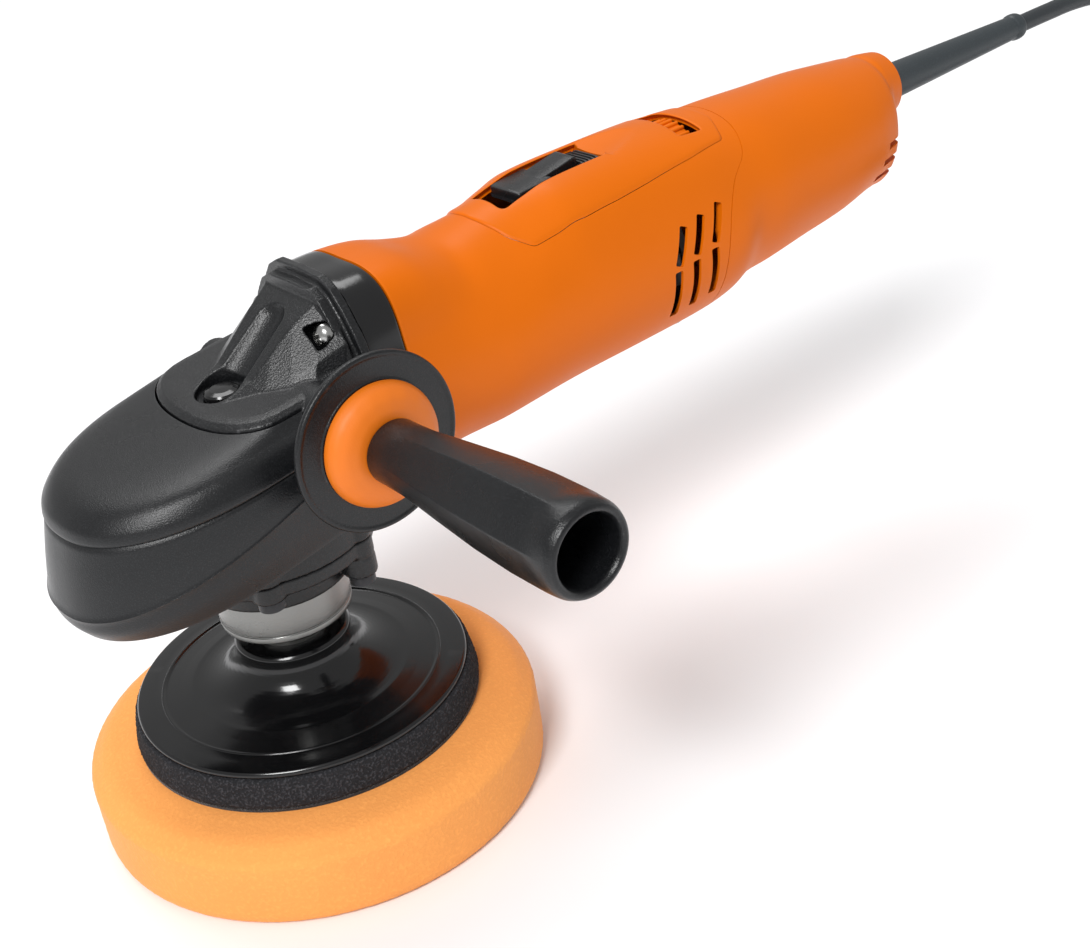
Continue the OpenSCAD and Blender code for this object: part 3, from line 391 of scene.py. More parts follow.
def coil_points():
    """The wound part: ring by ring across a layer, then up to the next one, clockwise seen from above."""
    stops = []
    for level, z in enumerate(COIL_LAYERS):
        stops += [(r, z) for r in (COIL_RINGS if level % 2 == 0 else COIL_RINGS[::-1])]
    stops = stops[:-1]
    total = len(stops) - 1 + LAST_TURN
    count = int(total * POINTS_PER_TURN)
    points = []
    for i in range(1, count + 1):
        t = total * i / count
        ring = int(t)
        r, z = stops[ring]
        if ring + 1 < len(stops) and t - ring > 1 - STEP_TURNS:
            w = float(smooth_step((t - ring - 1 + STEP_TURNS) / STEP_TURNS))
            r, z = r + (stops[ring + 1][0] - r) * w, z + (stops[ring + 1][1] - z) * w
        landing = 1 - float(smooth_step(t / LANDING_TURNS))
        a = math.radians(COIL_START) - 2 * math.pi * t
        r += LANDING_OUT * landing
        points.append((COIL_X + r * math.cos(a), COIL_Y + r * math.sin(a), z + LANDING_UP * landing))
    return points


def make_cord():
    """The whole cord as one curve, from the housing through the coil to the plug."""
    tail = []
    for i in range(1, TAIL_STEPS + 1):
        t = i / TAIL_STEPS
        a = math.radians(270 - 90 * t)
        tail.append((COIL_X + TAIL_R * math.cos(a), COIL_Y - TAIL_SHIFT + TAIL_R * math.sin(a),
                     COIL_LAYERS[-1] + TAIL_RISE * float(smooth_step(t))))
    points = CORD_ROUTE + coil_points() + tail
    curve = bpy.data.curves.new("mains_cord", "CURVE")
    curve.dimensions = "3D"
    spline = curve.splines.new("BEZIER")
    spline.bezier_points.add(len(points) - 1)
    for target, p in zip(spline.bezier_points, points):
        target.co = Vector(p) * MM
        target.handle_left_type = target.handle_right_type = "AUTO"
    curve.bevel_depth = CORD_R * MM
    curve.bevel_resolution = 4
    curve.resolution_u = 5
    curve.use_fill_caps = True
    made = bpy.data.objects.new("mains_cord", curve)
    scene.collection.objects.link(made)
    curve.materials.append(MATERIALS["cord_rubber"])
    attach(made, "housing")
    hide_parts("cord", "cord_coil")
    return made


def make_tie():
    """A strap round the coil's section."""
    low, high = 24.4, 55.6
    section = [(low + 4, 0.15), (high - 4, 0.15), (high - 1, 1.2), (high, 4), (high, 26.8), (high - 1, 29.8),
               (high - 4, 30.8), (low + 4, 30.8), (low + 1, 29.8), (low, 26.8), (low, 4), (low + 1, 1.2)]
    outer = rounded(section + [section[0]], 2.5, 3)[1:-1]
    centre = np.array([(low + high) / 2, 15.5])
    inner = [tuple(centre + (np.array(p) - centre) * 0.93) for p in outer]
    rings = []
    for swing in np.linspace(-1, 1, 9):
        edge = 1 - 0.006 * abs(swing) ** 8
        a = math.radians(159 + 8.6 * swing)
        for_side = [tuple(centre + (np.array(p) - centre) * edge) for p in outer]
        wall = for_side + inner[::-1]
        rings.append([(COIL_X + r * math.cos(a), COIL_Y + r * math.sin(a), z) for r, z in wall])
    points = np.vstack(rings)
    size, half = len(rings[0]), len(outer)
    faces = []
    for i in range(len(rings) - 1):
        for side, count in ((0, half), (half, size - half)):
            for s in range(count):
                a, b = side + s, side + (s + 1) % count
                faces.append((i * size + a, i * size + b, (i + 1) * size + b, (i + 1) * size + a))
    for base in (0, (len(rings) - 1) * size):
        for s in range(half):
            t = (s + 1) % half
            faces.append((base + s, base + t, base + size - 1 - t, base + size - 1 - s))
    return piece("cord_strap", points, faces, SLOT_OF["cord_tie"], "housing", ["cord_tie"])


def make_plug():
    """A two-pin plug with a ribbed sleeve where the cord goes in."""
    x, y, z = COIL_X - 30, COIL_Y + 26, 39.2

    def along_plug(u, v, d):
        return (x + u, y + d, z + v)

    sleeve = [(0, -40), (4.4, -40), (4.8, -39)]
    for i in range(6):
        start = -37 + 4 * i
        sleeve += [(5.2 + 0.4 * i, start), (5.2 + 0.4 * i, start + 2), (4.5 + 0.4 * i, start + 2.3),
                   (4.5 + 0.4 * i, start + 3.4)]
    sleeve += [(7.8, -12), (7.8, -8), (0, -8)]
    rings = []
    sides = 64
    for d, half_x, half_z in ((-14, 7, 6), (-12.5, 9.5, 7), (-8, 12.5, 7.6), (0, 15.5, 7.9), (8, 17.2, 8),
                              (19, 17.4, 8), (21, 17, 7.8), (22, 16, 7)):
        ring = []
        for s in range(sides):
            a = 2 * math.pi * s / sides
            across_x = math.copysign(abs(math.cos(a)) ** 0.55, math.cos(a))
            across_z = math.copysign(abs(math.sin(a)) ** 0.6, math.sin(a))
            ring.append(along_plug(half_x * across_x, half_z * across_z, d))
        rings.append(ring)
    points, faces = join_shapes([lathe(rounded(sleeve, 0.3, 2), along_plug, 48), loft(rings)])
    body = piece("plug_body", points, faces, SLOT_OF["mains_plug"], "housing", ["mains_plug"])
    profile = rounded([(0, 20), (2.4, 20), (2.4, 38.2), (1.9, 39.4), (0, 39.8)], 0.5, 3)
    pins = [lathe(profile, lambda u, v, d, s=s: along_plug(u + s, v, d), 32) for s in (-9.5, 9.5)]
    pin_pair = piece("plug_pins", *join_shapes(pins), "steel", "housing")
    return body, pin_pair


cord_piece = make_cord()
tie_piece = make_tie()
plug_pieces = make_plug()

# ------------------------------------------------------------------ orange skin

# Distance along the motor, centre height above its axis, then the radius every 30 degrees from the top down
SKIN = np.array([
    [33, 0, 39.5, 40.8, 33, 32, 33, 34.5, 35], [46, 0, 39.3, 40.8, 32.6, 31.4, 32.5, 34.2, 35],
    [58, 0, 38.6, 39.4, 32.4, 31.2, 32.2, 33.4, 34.2], [68, 0, 35.8, 36.4, 32, 31.4, 32, 33, 33.6],
    [77, 0, 34.6, 33.9, 32, 31.8, 32.3, 33.1, 33.5], [85, 0, 35, 34.3, 32.3, 32.4, 32.6, 33.2, 33.6],
    [100, 0, 37.2, 35, 33.9, 32.8, 32.3, 32.4, 33], [110, 0, 39.2, 37.3, 34.4, 33, 32, 31.8, 32.2],
    [121, 0, 40.8, 39.8, 35, 33, 31.9, 31.4, 31.7], [150, 0, 41.2, 40.2, 35.2, 33, 31.7, 31, 31.2],
    [174, 0, 40.8, 39.8, 35, 33, 31.4, 30.3, 30.6], [186, 0, 39.6, 39, 34.5, 32.6, 30.2, 28.7, 28.7],
    [196, 3.5, 35.4, 35.2, 32.8, 30.6, 29.4, 28.6, 28.6],
    [210, 6.8, 31.6, 31.8, 31.2, 30.4, 30.2, 30.4, 30.6],
    [230, 7.3, 29.9, 30.1, 29.6, 28.9, 28.7, 28.8, 29], [250, 7.6, 28.5, 28.6, 28, 27.2, 27, 27.2, 27.4],
    [265, 8.2, 26.3, 26.3, 25.8, 25, 24.9, 25, 25.3], [272, 8.7, 25, 24.9, 24.1, 23.2, 23.6, 24.6, 25],
    [278, 9.4, 23.6, 23.3, 21.9, 20.8, 21.8, 23.8, 24], [280.5, 13.5, 19, 18.8, 18, 17.6, 18, 18.8, 19],
    [283, 17, 15.8, 15.8, 15.4, 15, 15.2, 15.4, 15.4], [287, 19, 13.4, 13.4, 13.4, 13.4, 13.4, 13.4, 13.4],
    [291, 19.5, 12.2, 12.2, 12.2, 12.2, 12.2, 12.2, 12.2],
])
WALL = 2.7
SIDES = 180


def hermite(a, b, slope_a, slope_b, span, t):
    """A smooth step from a to b with given slopes at both ends."""
    return (a * (2 * t**3 - 3 * t**2 + 1) + b * (3 * t**2 - 2 * t**3) + slope_a * span * (t**3 - 2 * t**2 + t)
            + slope_b * span * (t**3 - t**2))


def row_at(table, x):
    """All columns of a table at x, smooth from row to row."""
    i = int(np.clip(np.searchsorted(table[:, 0], x) - 1, 0, len(table) - 2))

    def slope(k):
        a, b = max(k - 1, 0), min(k + 1, len(table) - 1)
        return (table[b] - table[a]) / (table[b][0] - table[a][0])

    span = table[i + 1][0] - table[i][0]
    return hermite(table[i], table[i + 1], slope(i), slope(i + 1), span, (x - table[i][0]) / span)


def skin_ring(x, inset=0.0, sides=SIDES):
    """One ring of the skin; the angle runs from the top towards +Y."""
    row = row_at(SKIN, x)
    radii = row[2:]
    angles = np.arange(sides) * 2 * math.pi / sides
    fold = np.degrees(np.minimum(angles, 2 * math.pi - angles)) / 30
    j = np.minimum(fold.astype(int), 5)

    def at(k):
        k = np.abs(k)
        return radii[np.where(k > 6, 12 - k, k)]

    r0, r1, r2, r3 = at(j - 1), at(j), at(j + 1), at(j + 2)
    r = hermite(r1, r2, (r2 - r0) / 2, (r3 - r1) / 2, 1, fold - j) - inset
    return np.stack([np.full(sides, x), r * np.sin(angles), AXIS_Z + row[1] + r * np.cos(angles)], 1)


def skin_height(x, y, inset=0.0):
    """Height of the skin's top over a point."""
    ring = skin_ring(x, inset, 360)[:100]
    return float(np.interp(abs(y), ring[:, 1], ring[:, 2]))


def stations(start, end, step=1.25):
    """Evenly spaced places along the motor."""
    return np.linspace(start, end, max(2, int(round((end - start) / step)) + 1))


def shell(xs):
    """Closed tube between the skin and its inside."""
    return loft([skin_ring(x) for x in xs] + [skin_ring(x, WALL) for x in xs[::-1]], closed=True)


# Side view of the joint between the motor housing and the rear cover
SEAM = [(199.2, 182), (199, 168), (195, 160.5), (189.4, 157.3), (186.3, 155), (182.5, 150), (179.3, 144),
        (177, 137), (175.8, 129.5), (175.2, 118), (175.2, 90)]
SEAM_GAP = 0.18
HOUSING_FRONT, HOUSING_REAR = 46, 203
# One slot of each pair stands above the bridge and leans; the other hangs below it
VENT_X = (152.8, 161.2, 170.0)
VENT_Z, VENT_STEP = AXIS_Z + 2.6, 1.2
VENT_HALF, VENT_BRIDGE, VENT_TOP, VENT_BOTTOM, VENT_LEAN, VENT_WALL = 1.75, 0.9, 14.2, -18.4, 24, 1.1
# Plan view of one half of the switch panel, then its openings: front, rear and half width
PANEL = [(93, 4), (94.4, 9.5), (97.2, 16.4), (103, 22.4), (113.5, 23.6), (124, 24.3), (138, 24),
         (152.5, 23.2), (174.5, 21.5), (190.5, 19.2), (195, 9)]
RECESS = (102.4, 148.4, 8.7)
WINDOW = (176.0, 186.0, 14.0)
PANEL_GAP, PANEL_RISE, PANEL_RIM, OPENING_DROP, PANEL_THICK = 0.12, 0.75, 0.9, 0.45, 2.4
# The finger rest behind the recess: its height at the front, its rise to the rear and its rise to the sides
REST_Z, REST_SLOPE, REST_BOW = 171.9, 0.16, 0.012


def smooth_line(points, step, closed=False, radius=2.0):
    """A polyline with rounded corners, sampled evenly."""
    line = [np.array(p, float) for p in points]
    if closed:
        middle = (line[0] + line[-1]) / 2
        line = [middle] + line + [middle]
    line = [np.array(p) for p in rounded([tuple(p) for p in line], radius, 6)]
    lengths = np.concatenate([[0], np.cumsum([np.linalg.norm(b - a) for a, b in zip(line, line[1:])])])
    count = max(int(round(lengths[-1] / step)), 8)
    at = np.linspace(0, lengths[-1], count + 1)
    out = np.stack([np.interp(at, lengths, [p[k] for p in line]) for k in (0, 1)], 1)
    return out[:-1] if closed else out


PANEL_LINE = smooth_line(PANEL + [(x, -y) for x, y in PANEL[::-1]], 0.8, closed=True, radius=1.5)


def seam_prism(shift, forward):
    """Everything before the seam, or behind it."""
    line = [(x + shift, z) for x, z in smooth_line(SEAM, 2.0, radius=3.0)]
    far = 30 if forward else 310
    outline = line + [(far, 90), (far, 182)]
    return prism(outline, -60, 60, sideways)


def grown(line, amount):
    """A closed line moved outwards."""
    line = np.asarray(line, float)
    along = np.roll(line, -1, 0) - np.roll(line, 1, 0)
    normal = np.stack([along[:, 1], -along[:, 0]], 1)
    normal /= np.linalg.norm(normal, axis=1)[:, None]
    middle = line.mean(0)
    if ((line - middle) * normal).sum() < 0:
        normal = -normal
    return line + normal * amount


def vent_slot(far, near):
    """A slot outline with slightly rounded corners."""
    corners = [(-VENT_HALF, far), (VENT_HALF, far), (VENT_HALF, near), (-VENT_HALF, near)]
    return smooth_line(corners, 0.5, closed=True, radius=0.7)


def vent_cutters():
    """Three pairs of air slots on each flank."""
    shapes = []
    lean = math.radians(VENT_LEAN)
    lower = vent_slot(VENT_BOTTOM, -VENT_BRIDGE)
    upper = [(u * math.cos(lean) + v * math.sin(lean), v * math.cos(lean) - u * math.sin(lean))
             for u, v in vent_slot(VENT_TOP, VENT_BRIDGE)]
    for i, x in enumerate(VENT_X):
        z = VENT_Z + VENT_STEP * i

        def on_flank(u, v, d, x=x, z=z):
            return (x + u, d, z + v)

        for side in (-1, 1):
            shapes += [prism(outline, 24 * side, 46 * side, on_flank) for outline in (lower, upper)]
    return join_shapes(shapes)


def panel_opening():
    """The hole in the shells that the panel fills."""
    return temporary(*prism(grown(PANEL_LINE, PANEL_GAP), AXIS_Z + 16, AXIS_Z + 60, upright))


def make_motor_housing():
    """The front shell, thinner round its air slots."""
    points, faces = shell(stations(HOUSING_FRONT, HOUSING_REAR))
    made = piece("motor_shell", points, faces, "orange_plastic", "housing", ["motor_housing"])
    combine(made, temporary(*seam_prism(-SEAM_GAP, False)))
    combine(made, panel_opening())
    flank = [(140, 113), (180, 113), (180, 153), (140, 153)]
    for side in (-1, 1):
        pocket = temporary(*loft([skin_ring(x, VENT_WALL) for x in stations(147, 173.5)]))
        combine(pocket, temporary(*prism(flank, 22 * side, 50 * side, sideways)), "INTERSECT")
        combine(made, pocket)
    combine(made, temporary(*vent_cutters()))
    return made


def make_rear_cover():
    """The rear shell, with a bore for the cord's sleeve and three intake notches on each side."""
    xs = np.concatenate([stations(174, 272), stations(272.5, 279, 0.5), stations(279.25, 290.5, 0.4)])
    inner = stations(173.5, 272)
    outside = [skin_ring(x) for x in xs]
    for shrink, x in ((0.35, 290.85), (0.9, 291)):
        outside.append(skin_ring(x, shrink))
    points, faces = loft(outside)
    made = piece("rear_shell", points, faces, "orange_plastic", "housing", ["rear_cover"])
    combine(made, temporary(*loft([skin_ring(x, WALL) for x in inner])))
    combine(made, temporary(*seam_prism(SEAM_GAP, True)))
    combine(made, panel_opening())
    bore = lathe([(0, 268), (7.3, 268), (7.3, 292), (0, 292)], along_cord, 64)
    combine(made, temporary(*bore))
    notches = []
    for side in (-1, 1):
        for i in range(3):
            front, low = 270 - 2.5 * i, AXIS_Z + 4 - 6 * i
            outline = [(front, low), (300, low), (300, low + 2.6), (front, low + 2.6)]
            notches.append(prism(outline, 4 * side, 30 * side, sideways))
    combine(made, temporary(*join_shapes(notches)))
    return made


def distance_to(line, points):
    """Distance from each point to a closed line."""
    best = np.full(len(points), 1e9)
    for a, b in zip(line, np.roll(line, -1, 0)):
        d = b - a
        t = np.clip(((points - a) @ d) / max(d @ d, 1e-12), 0, 1)
        best = np.minimum(best, np.linalg.norm(points - (a + t[:, None] * d), axis=1))
    return best


def box_line(x0, x1, half, radius):
    """A closed rectangle with rounded corners."""
    return smooth_line([(x0, half), (x1, half), (x1, -half), (x0, -half)], 0.8, closed=True, radius=radius)


def inside(line, points):
    """Which points lie inside a closed line."""
    x, y = points[:, 0], points[:, 1]
    odd = np.zeros(len(points), bool)
    for (ax, ay), (bx, by) in zip(line, np.roll(line, -1, 0)):
        crosses = (ay > y) != (by > y)
        where = ax + (y - ay) * (bx - ax) / (by - ay if abs(by - ay) > 1e-12 else 1e-12)
        odd ^= crosses & (x < where)
    return odd


def panel_mesh(recess, window):
    """The panel's plan as points and triangles, with extra rows of points along every edge."""
    lines = [(PANEL_LINE, -1), (recess, 1), (window, 1)]
    points, edges = [], []
    for line, side in lines:
        base = len(points)
        points.extend(map(tuple, line))
        edges.extend((base + i, base + (i + 1) % len(line)) for i in range(len(line)))
        for offset in (0.22, 0.5, 0.9):
            points.extend(map(tuple, grown(line, side * offset)))
    grid = np.array([(x, y) for x in np.arange(92, 196, 0.9) for y in np.arange(-25.2, 25.3, 0.9)])
    grid = grid[inside(PANEL_LINE, grid) & ~inside(recess, grid) & ~inside(window, grid)]
    keep = np.ones(len(grid), bool)
    for line, side in lines:
        keep &= distance_to(line, grid) > 1.3
    points.extend(map(tuple, grid[keep]))
    flat, _, triangles, *_ = delaunay_2d_cdt([Vector(p) for p in points], edges, [], 2, 1e-5)
    flat = np.array([tuple(p) for p in flat])
    centres = np.array([flat[list(t)].mean(0) for t in triangles])
    solid = inside(PANEL_LINE, centres) & ~inside(recess, centres) & ~inside(window, centres)
    return flat, [tuple(t) for t, wanted in zip(triangles, solid) if wanted]


def rim(distance):
    """The share of its full height that a rounded edge has reached at a distance."""
    return np.sqrt(np.clip(1 - (1 - np.clip(distance / PANEL_RIM, 0, 1)) ** 2, 0, 1))


def make_panel():
    """The raised panel over the switch, with the switch's recess, the dial's window and a finger rest."""
    recess, window = box_line(*RECESS, 2.6), box_line(*WINDOW, 1.0)
    flat, faces = panel_mesh(recess, window)
    rise = PANEL_RISE * rim(distance_to(PANEL_LINE, flat))
    rise -= OPENING_DROP * (1 - rim(np.minimum(distance_to(recess, flat), distance_to(window, flat))))
    rest_start = RECESS[1] - 0.2
    top = []
    for (x, y), h in zip(flat, rise):
        z = skin_height(x, y) + h
        if x > rest_start:
            z = min(z, REST_Z + REST_SLOPE * (x - rest_start) + REST_BOW * y * y)
        top.append((x, y, z))
    made = piece("switch_cover", top, faces, "orange_plastic", "housing", ["switch_panel"], sharp=50)
    thick = made.modifiers.new("thickness", "SOLIDIFY")
    thick.thickness = PANEL_THICK * MM
    thick.offset = -1
    settle(made)
    made.data.shade_smooth()
    made.data.set_sharp_from_angle(angle=math.radians(50))
    return made


make_motor_housing()
make_rear_cover()
make_panel()

# ------------------------------------------------------------------ hood and gear head

# Height at the nose, rise to the rear, nose distance, half width, start of the straight sides, wall's turn
HOOD = np.array([
    [95, 0.16, 66.3, 37.5, 14, 0], [98.5, 0.26, 68.8, 39.5, 13, 0], [103, 0.33, 69.8, 40.5, 12, 0],
    [114, 0.235, 67.4, 40.2, 12, 0], [125.4, 0.13, 64.5, 39.4, 12, 0], [127.4, 0.12, 64.5, 39.6, 12, 15],
    [131, 0.1, 63.4, 39, 12, 35], [135.5, 0.1, 58.5, 36.8, 12, 60], [138.5, 0.1, 50, 34.4, 9, 80],
    [144.5, 0.09, 19.5, 31.5, 0.5, 90],
])
HOOD_CREASES = (0, 2, 4, 9)
HOOD_REAR = 24.0
HOOD_WALL = 3.0
HOOD_POWER = 2.25
FLANK_POINTS = 13
BOSS_HOLE_R, RIGHT_BOSS_HOLE_R = 10.1, 7.6
SCREW_SPOTS = ((17.5, 159.0), (22.5, 114.0))
# Level, size and width of the groove under the hood's top, then of the ridge along its foot
GROOVE, RIDGE = (126.3, 0.8, 0.62), (103, 0.3, 0.7)


def hood_levels():
    """The hood's rows, close together, with a groove at the upper crease and a fine ridge at the lower."""
    levels = []
    for first, last in zip(HOOD_CREASES, HOOD_CREASES[1:]):
        rows = HOOD[first:last + 1]
        steps = np.linalg.norm(np.diff(rows[:, [0, 2]], axis=0), axis=1)
        table = np.column_stack([np.concatenate([[0], np.cumsum(steps)]), rows])
        count = int(table[-1, 0] / 0.8)
        for t in np.linspace(0, table[-1, 0], count + 1)[0 if first == 0 else 1:]:
            levels.append(row_at(table, t)[1:])
    levels = np.array(levels)

    def bump(z, height, width):
        return height * np.exp(-(((levels[:, 0] - z) / width) ** 2))

    groove, ridge = bump(*GROOVE), bump(*RIDGE)
    levels[:, 2] -= groove - ridge
    levels[:, 3] -= groove - ridge
    return levels


def hood_path(row, inner):
    """One level of the hood, from the rear of its handle side round the nose to the other rear end."""
    rise, turn = row[1], math.radians(row[5])
    side = HOOD_WALL * math.cos(turn) if inner else 0.0
    drop = HOOD_WALL * math.sin(turn) if inner else 0.0
    nose, w = row[2] - side, row[3] - side
    straight = min(row[4], nose - 1)
    a = np.radians(np.linspace(-90, 90, 121))
    x = -straight - (nose - straight) * np.abs(np.cos(a)) ** (2 / HOOD_POWER)
    y = w * np.sign(a) * np.abs(np.sin(a)) ** (2 / HOOD_POWER)
    flank = np.linspace(HOOD_REAR, -straight, FLANK_POINTS + 1)[:-1]
    x = np.concatenate([flank, x, flank[::-1]])
    y = np.concatenate([np.full(FLANK_POINTS, -w), y, np.full(FLANK_POINTS, w)])
    return np.stack([x, y, row[0] + rise * (x + row[2]) - drop], 1)


def make_hood():
    """The rubber-like hood over the gear head, open at the rear, with holes for both handle bosses."""
    levels = hood_levels()
    outer = [hood_path(row, False) for row in levels]
    inner = [hood_path(row, True) for row in levels[::2]]
    lip = [outer[-1] * (1 - t) + inner[-1] * t for t in (0.12, 0.5)]
    for shift, path in zip((0.0, 0.25), lip):
        path[:, 2] -= shift
    stack = outer + lip + inner[::-1]
    rings = [[path[i] for path in stack] for i in range(len(outer[0]))]
    made = piece("hood", *loft(rings), "black_plastic", "housing", ["grip_hood"], sharp=40)
    holes = join_shapes([
        lathe([(0, 20), (BOSS_HOLE_R, 20), (BOSS_HOLE_R, 60), (0, 60)], along_handle, 96),
        lathe([(0, -60), (RIGHT_BOSS_HOLE_R, -60), (RIGHT_BOSS_HOLE_R, -20), (0, -20)], along_handle, 64),
    ])
    combine(made, temporary(*holes), sharp=40)
    return made


def recast(name, node, slot, voxel, rounds):
    """A casting with soft edges, made from the CAD node's own shape."""
    mesh = frame["nodes"][node].data.copy()
    mesh.name = name
    tidy_normals(mesh)
    made = bpy.data.objects.new(name, mesh)
    scene.collection.objects.link(made)
    grid = made.modifiers.new("grid", "REMESH")
    grid.mode = "VOXEL"
    grid.voxel_size = voxel * MM
    soft = made.modifiers.new("soft", "SMOOTH")
    soft.factor = 0.5
    soft.iterations = rounds
    settle(made)
    return dress(made, slot, "housing", [node], 60)


def make_head_screws():
    """Four domed zinc screws in the gear housing's flange."""
    profile = [(0, 24.2), (2.0, 24.2), (2.2, 22.5)]
    profile += [(4.2 * math.sin(a), 25.4 - 3.3 * math.cos(a)) for a in np.linspace(0.62, 1.5, 9)]
    profile += [(4.2, 26.6), (2.4, 26.6), (2.4, 56), (0, 56)]
    shapes = []
    for side in (-1, 1):
        for y, z in SCREW_SPOTS:
            shapes.append(lathe(profile, lambda u, v, d, y=y * side, z=z: (d, y + u, z + v), 48))
    return piece("flange_fasteners", *join_shapes(shapes), "steel", "housing", ["head_screws"], sharp=35)


def make_gear_ring():
    """The glossy ring between the gear head and the motor shell, with a round tunnel for the shaft."""
    insets = ((33.02, 0.5), (33.3, 0.12), (33.7, 0), (36, 0), (39, 0), (42, 0), (44.6, 0), (45.2, 0.12),
              (45.6, 0.5))
    rings = [skin_ring(x, inset) for x, inset in insets]
    made = piece("gear_collar", *loft(rings), "gloss_black_plastic", "housing", ["gear_ring"])
    tunnel = lathe([(0, 30), (26, 30), (26, 50), (0, 50)], lambda u, v, d: (d, u, 128 + v), 96)
    combine(made, temporary(*tunnel))
    return made


def make_collar():
    """The bright turned collar round the neck, with one fine groove."""
    profile = [(18, 67), (20.9, 67), (21.5, 67.6), (21.5, 69.4), (21.25, 69.6), (21.25, 69.9), (21.5, 70.1),
               (21.5, 80.2), (21.1, 80.9), (18, 80.9), (18, 67)]
    points, faces = lathe(rounded(profile, 0.25, 3)[:-1], upright, 200)
    return piece("polished_collar", points, faces, "bright_collar", "housing", ["neck_collar"], sharp=25)


make_hood()
recast("gear_case", "gear_housing", "cast_black", 0.42, 2)
recast("bearing_boss", "bearing_flange", "cast_black", 0.55, 3)
make_head_screws()
make_gear_ring()
make_collar()

# ------------------------------------------------------------------ pad


def noisy(amount, scale, seed):
    """A change for lathe(): pores and unevenness that are the same each time."""

    def change(radius, along, a):
        spot = Vector((radius * math.cos(a), radius * math.sin(a), along)) * scale + Vector((seed, 0, 0))
        return radius + amount * noise.noise(spot) + 0.5 * amount * noise.noise(spot * 2.3), along

    return change


def fine(profile, step):
    """A profile with more points along its long stretches."""
    out = [profile[0]]
    for a, b in zip(profile, profile[1:]):
        count = max(1, int(math.dist(a, b) / step))
        out += [tuple(np.array(a) + (np.array(b) - np.array(a)) * k / count) for k in range(1, count + 1)]
    return out


def make_sponge():
    """The foam sponge: an upright edge with a soft lower corner and a sloping shoulder on top."""
    profile = [(0, 0), (SPONGE_R - 3.4, 0), (SPONGE_R - 0.9, 0.9), (SPONGE_R - 0.15, 3.4),
               (SPONGE_R - 0.15, 22.5), (SPONGE_R - 1, 24.2), (69.6, 27.7), (66.6, 28.7), (59, 29.9), (0, 30)]
    profile = fine(rounded(profile, 2.4, 5), 1.6)
    points, faces = lathe(profile, upright, 360, noisy(0.13, 0.55, 3.0))
    made = piece("sponge_pad", points, faces, "pale_foam", "pad_spindle", ["polishing_sponge"], sharp=60)
    return made


def make_foam():
    """The dark open-pored foam between the sponge and the plate, uneven only near its edge."""
    profile = [(0, 31), (FOAM_R - 0.6, 31), (FOAM_R - 0.2, 32.2), (FOAM_R - 0.5, 34), (FOAM_R - 1.8, 40.6),
               (FOAM_R - 2.4, 41), (0, 41)]
    profile = fine(rounded(profile, 0.6, 3), 0.55)
    change = noisy(0.3, 1.6, 11.0)

    def pores(radius, along, a):
        return (min(change(radius, along, a)[0], FOAM_R) if radius > 50 else radius), along

    points, faces = lathe(profile, upright, 720, pores)
    made = piece("foam_layer", points, faces, "black_foam", "pad_spindle", ["backing_foam"], sharp=60)
    return made


def make_plate():
    """The glossy backing plate: a flat rim with one raised ring, and a hollow curve up to its hub."""
    profile = [(0, 41), (54.7, 41), (54.7, 42.3), (54.1, 43), (49, 43.35), (46.4, 43.6), (46.2, 43.95),
               (45.6, 43.95), (45.3, 43.6), (45, 43.25), (44.4, 43.3), (40, 43.9)]
    for a in np.radians(np.linspace(0, 90, 16)):
        profile.append((19 + 17 * (1 - math.sin(a)), 44.6 + 12.4 * (1 - math.cos(a))))
    profile += [(19, 58.9), (18.1, 60), (12, 60), (12, 45), (0, 45)]
    points, faces = lathe(rounded(profile, 0.35, 3), upright, 240)
    return piece("pad_plate", points, faces, "gloss_black_plastic", "pad_spindle", ["backing_plate"],
                 sharp=38)


make_sponge()
make_foam()
make_plate()

# ------------------------------------------------------------------ side handle


# Where the guard, the soft ring and the grip start on the handle's axis, and where the grip ends
GUARD_START, RING_START, GRIP_START, GRIP_END = 55.0, 57.4, 64.8, 150.0


def make_guard():
    """The guard disc, with a raised rim and a shallow dish inside it."""
    profile = [(4, 0), (26.3, 0), (27.0, 0.35), (27.2, 1.0), (27.2, 1.7), (26.9, 2.25), (26.2, 2.4),
               (25.7, 2.2), (25.2, 2.0), (19.4, 2.05), (19.1, 2.4), (4, 2.4), (4, 0)]
    profile = [(r, GUARD_START + d) for r, d in rounded(profile, 0.3, 3)[:-1]]
    points, faces = lathe(profile, along_handle, 200)
    return piece("hand_guard", points, faces, "black_plastic", "housing", ["handle_guard"], sharp=35)


def make_soft_ring():
    """The soft orange ring, a dome with faint facets."""
    profile = [(4, 0), (18.5, 0), (18.9, 0.6), (18.8, 2), (17.8, 4.4), (15.2, 6.3), (11.8, 7.3), (9.9, 7.4),
               (4, 7.4), (4, 0)]
    profile = [(r, RING_START + d) for r, d in rounded(profile, 1.2, 4)[:-1]]

    def facets(radius, along, a):
        share = float(smooth_step((radius - 9) / 5) * smooth_step((18.6 - radius) / 2))
        return radius * (1 - 0.008 * share * abs(math.sin(9 * a)) ** 2), along

    points, faces = lathe(profile, along_handle, 240, facets)
    return piece("soft_washer", points, faces, "soft_orange", "housing", ["handle_ring"], sharp=60)


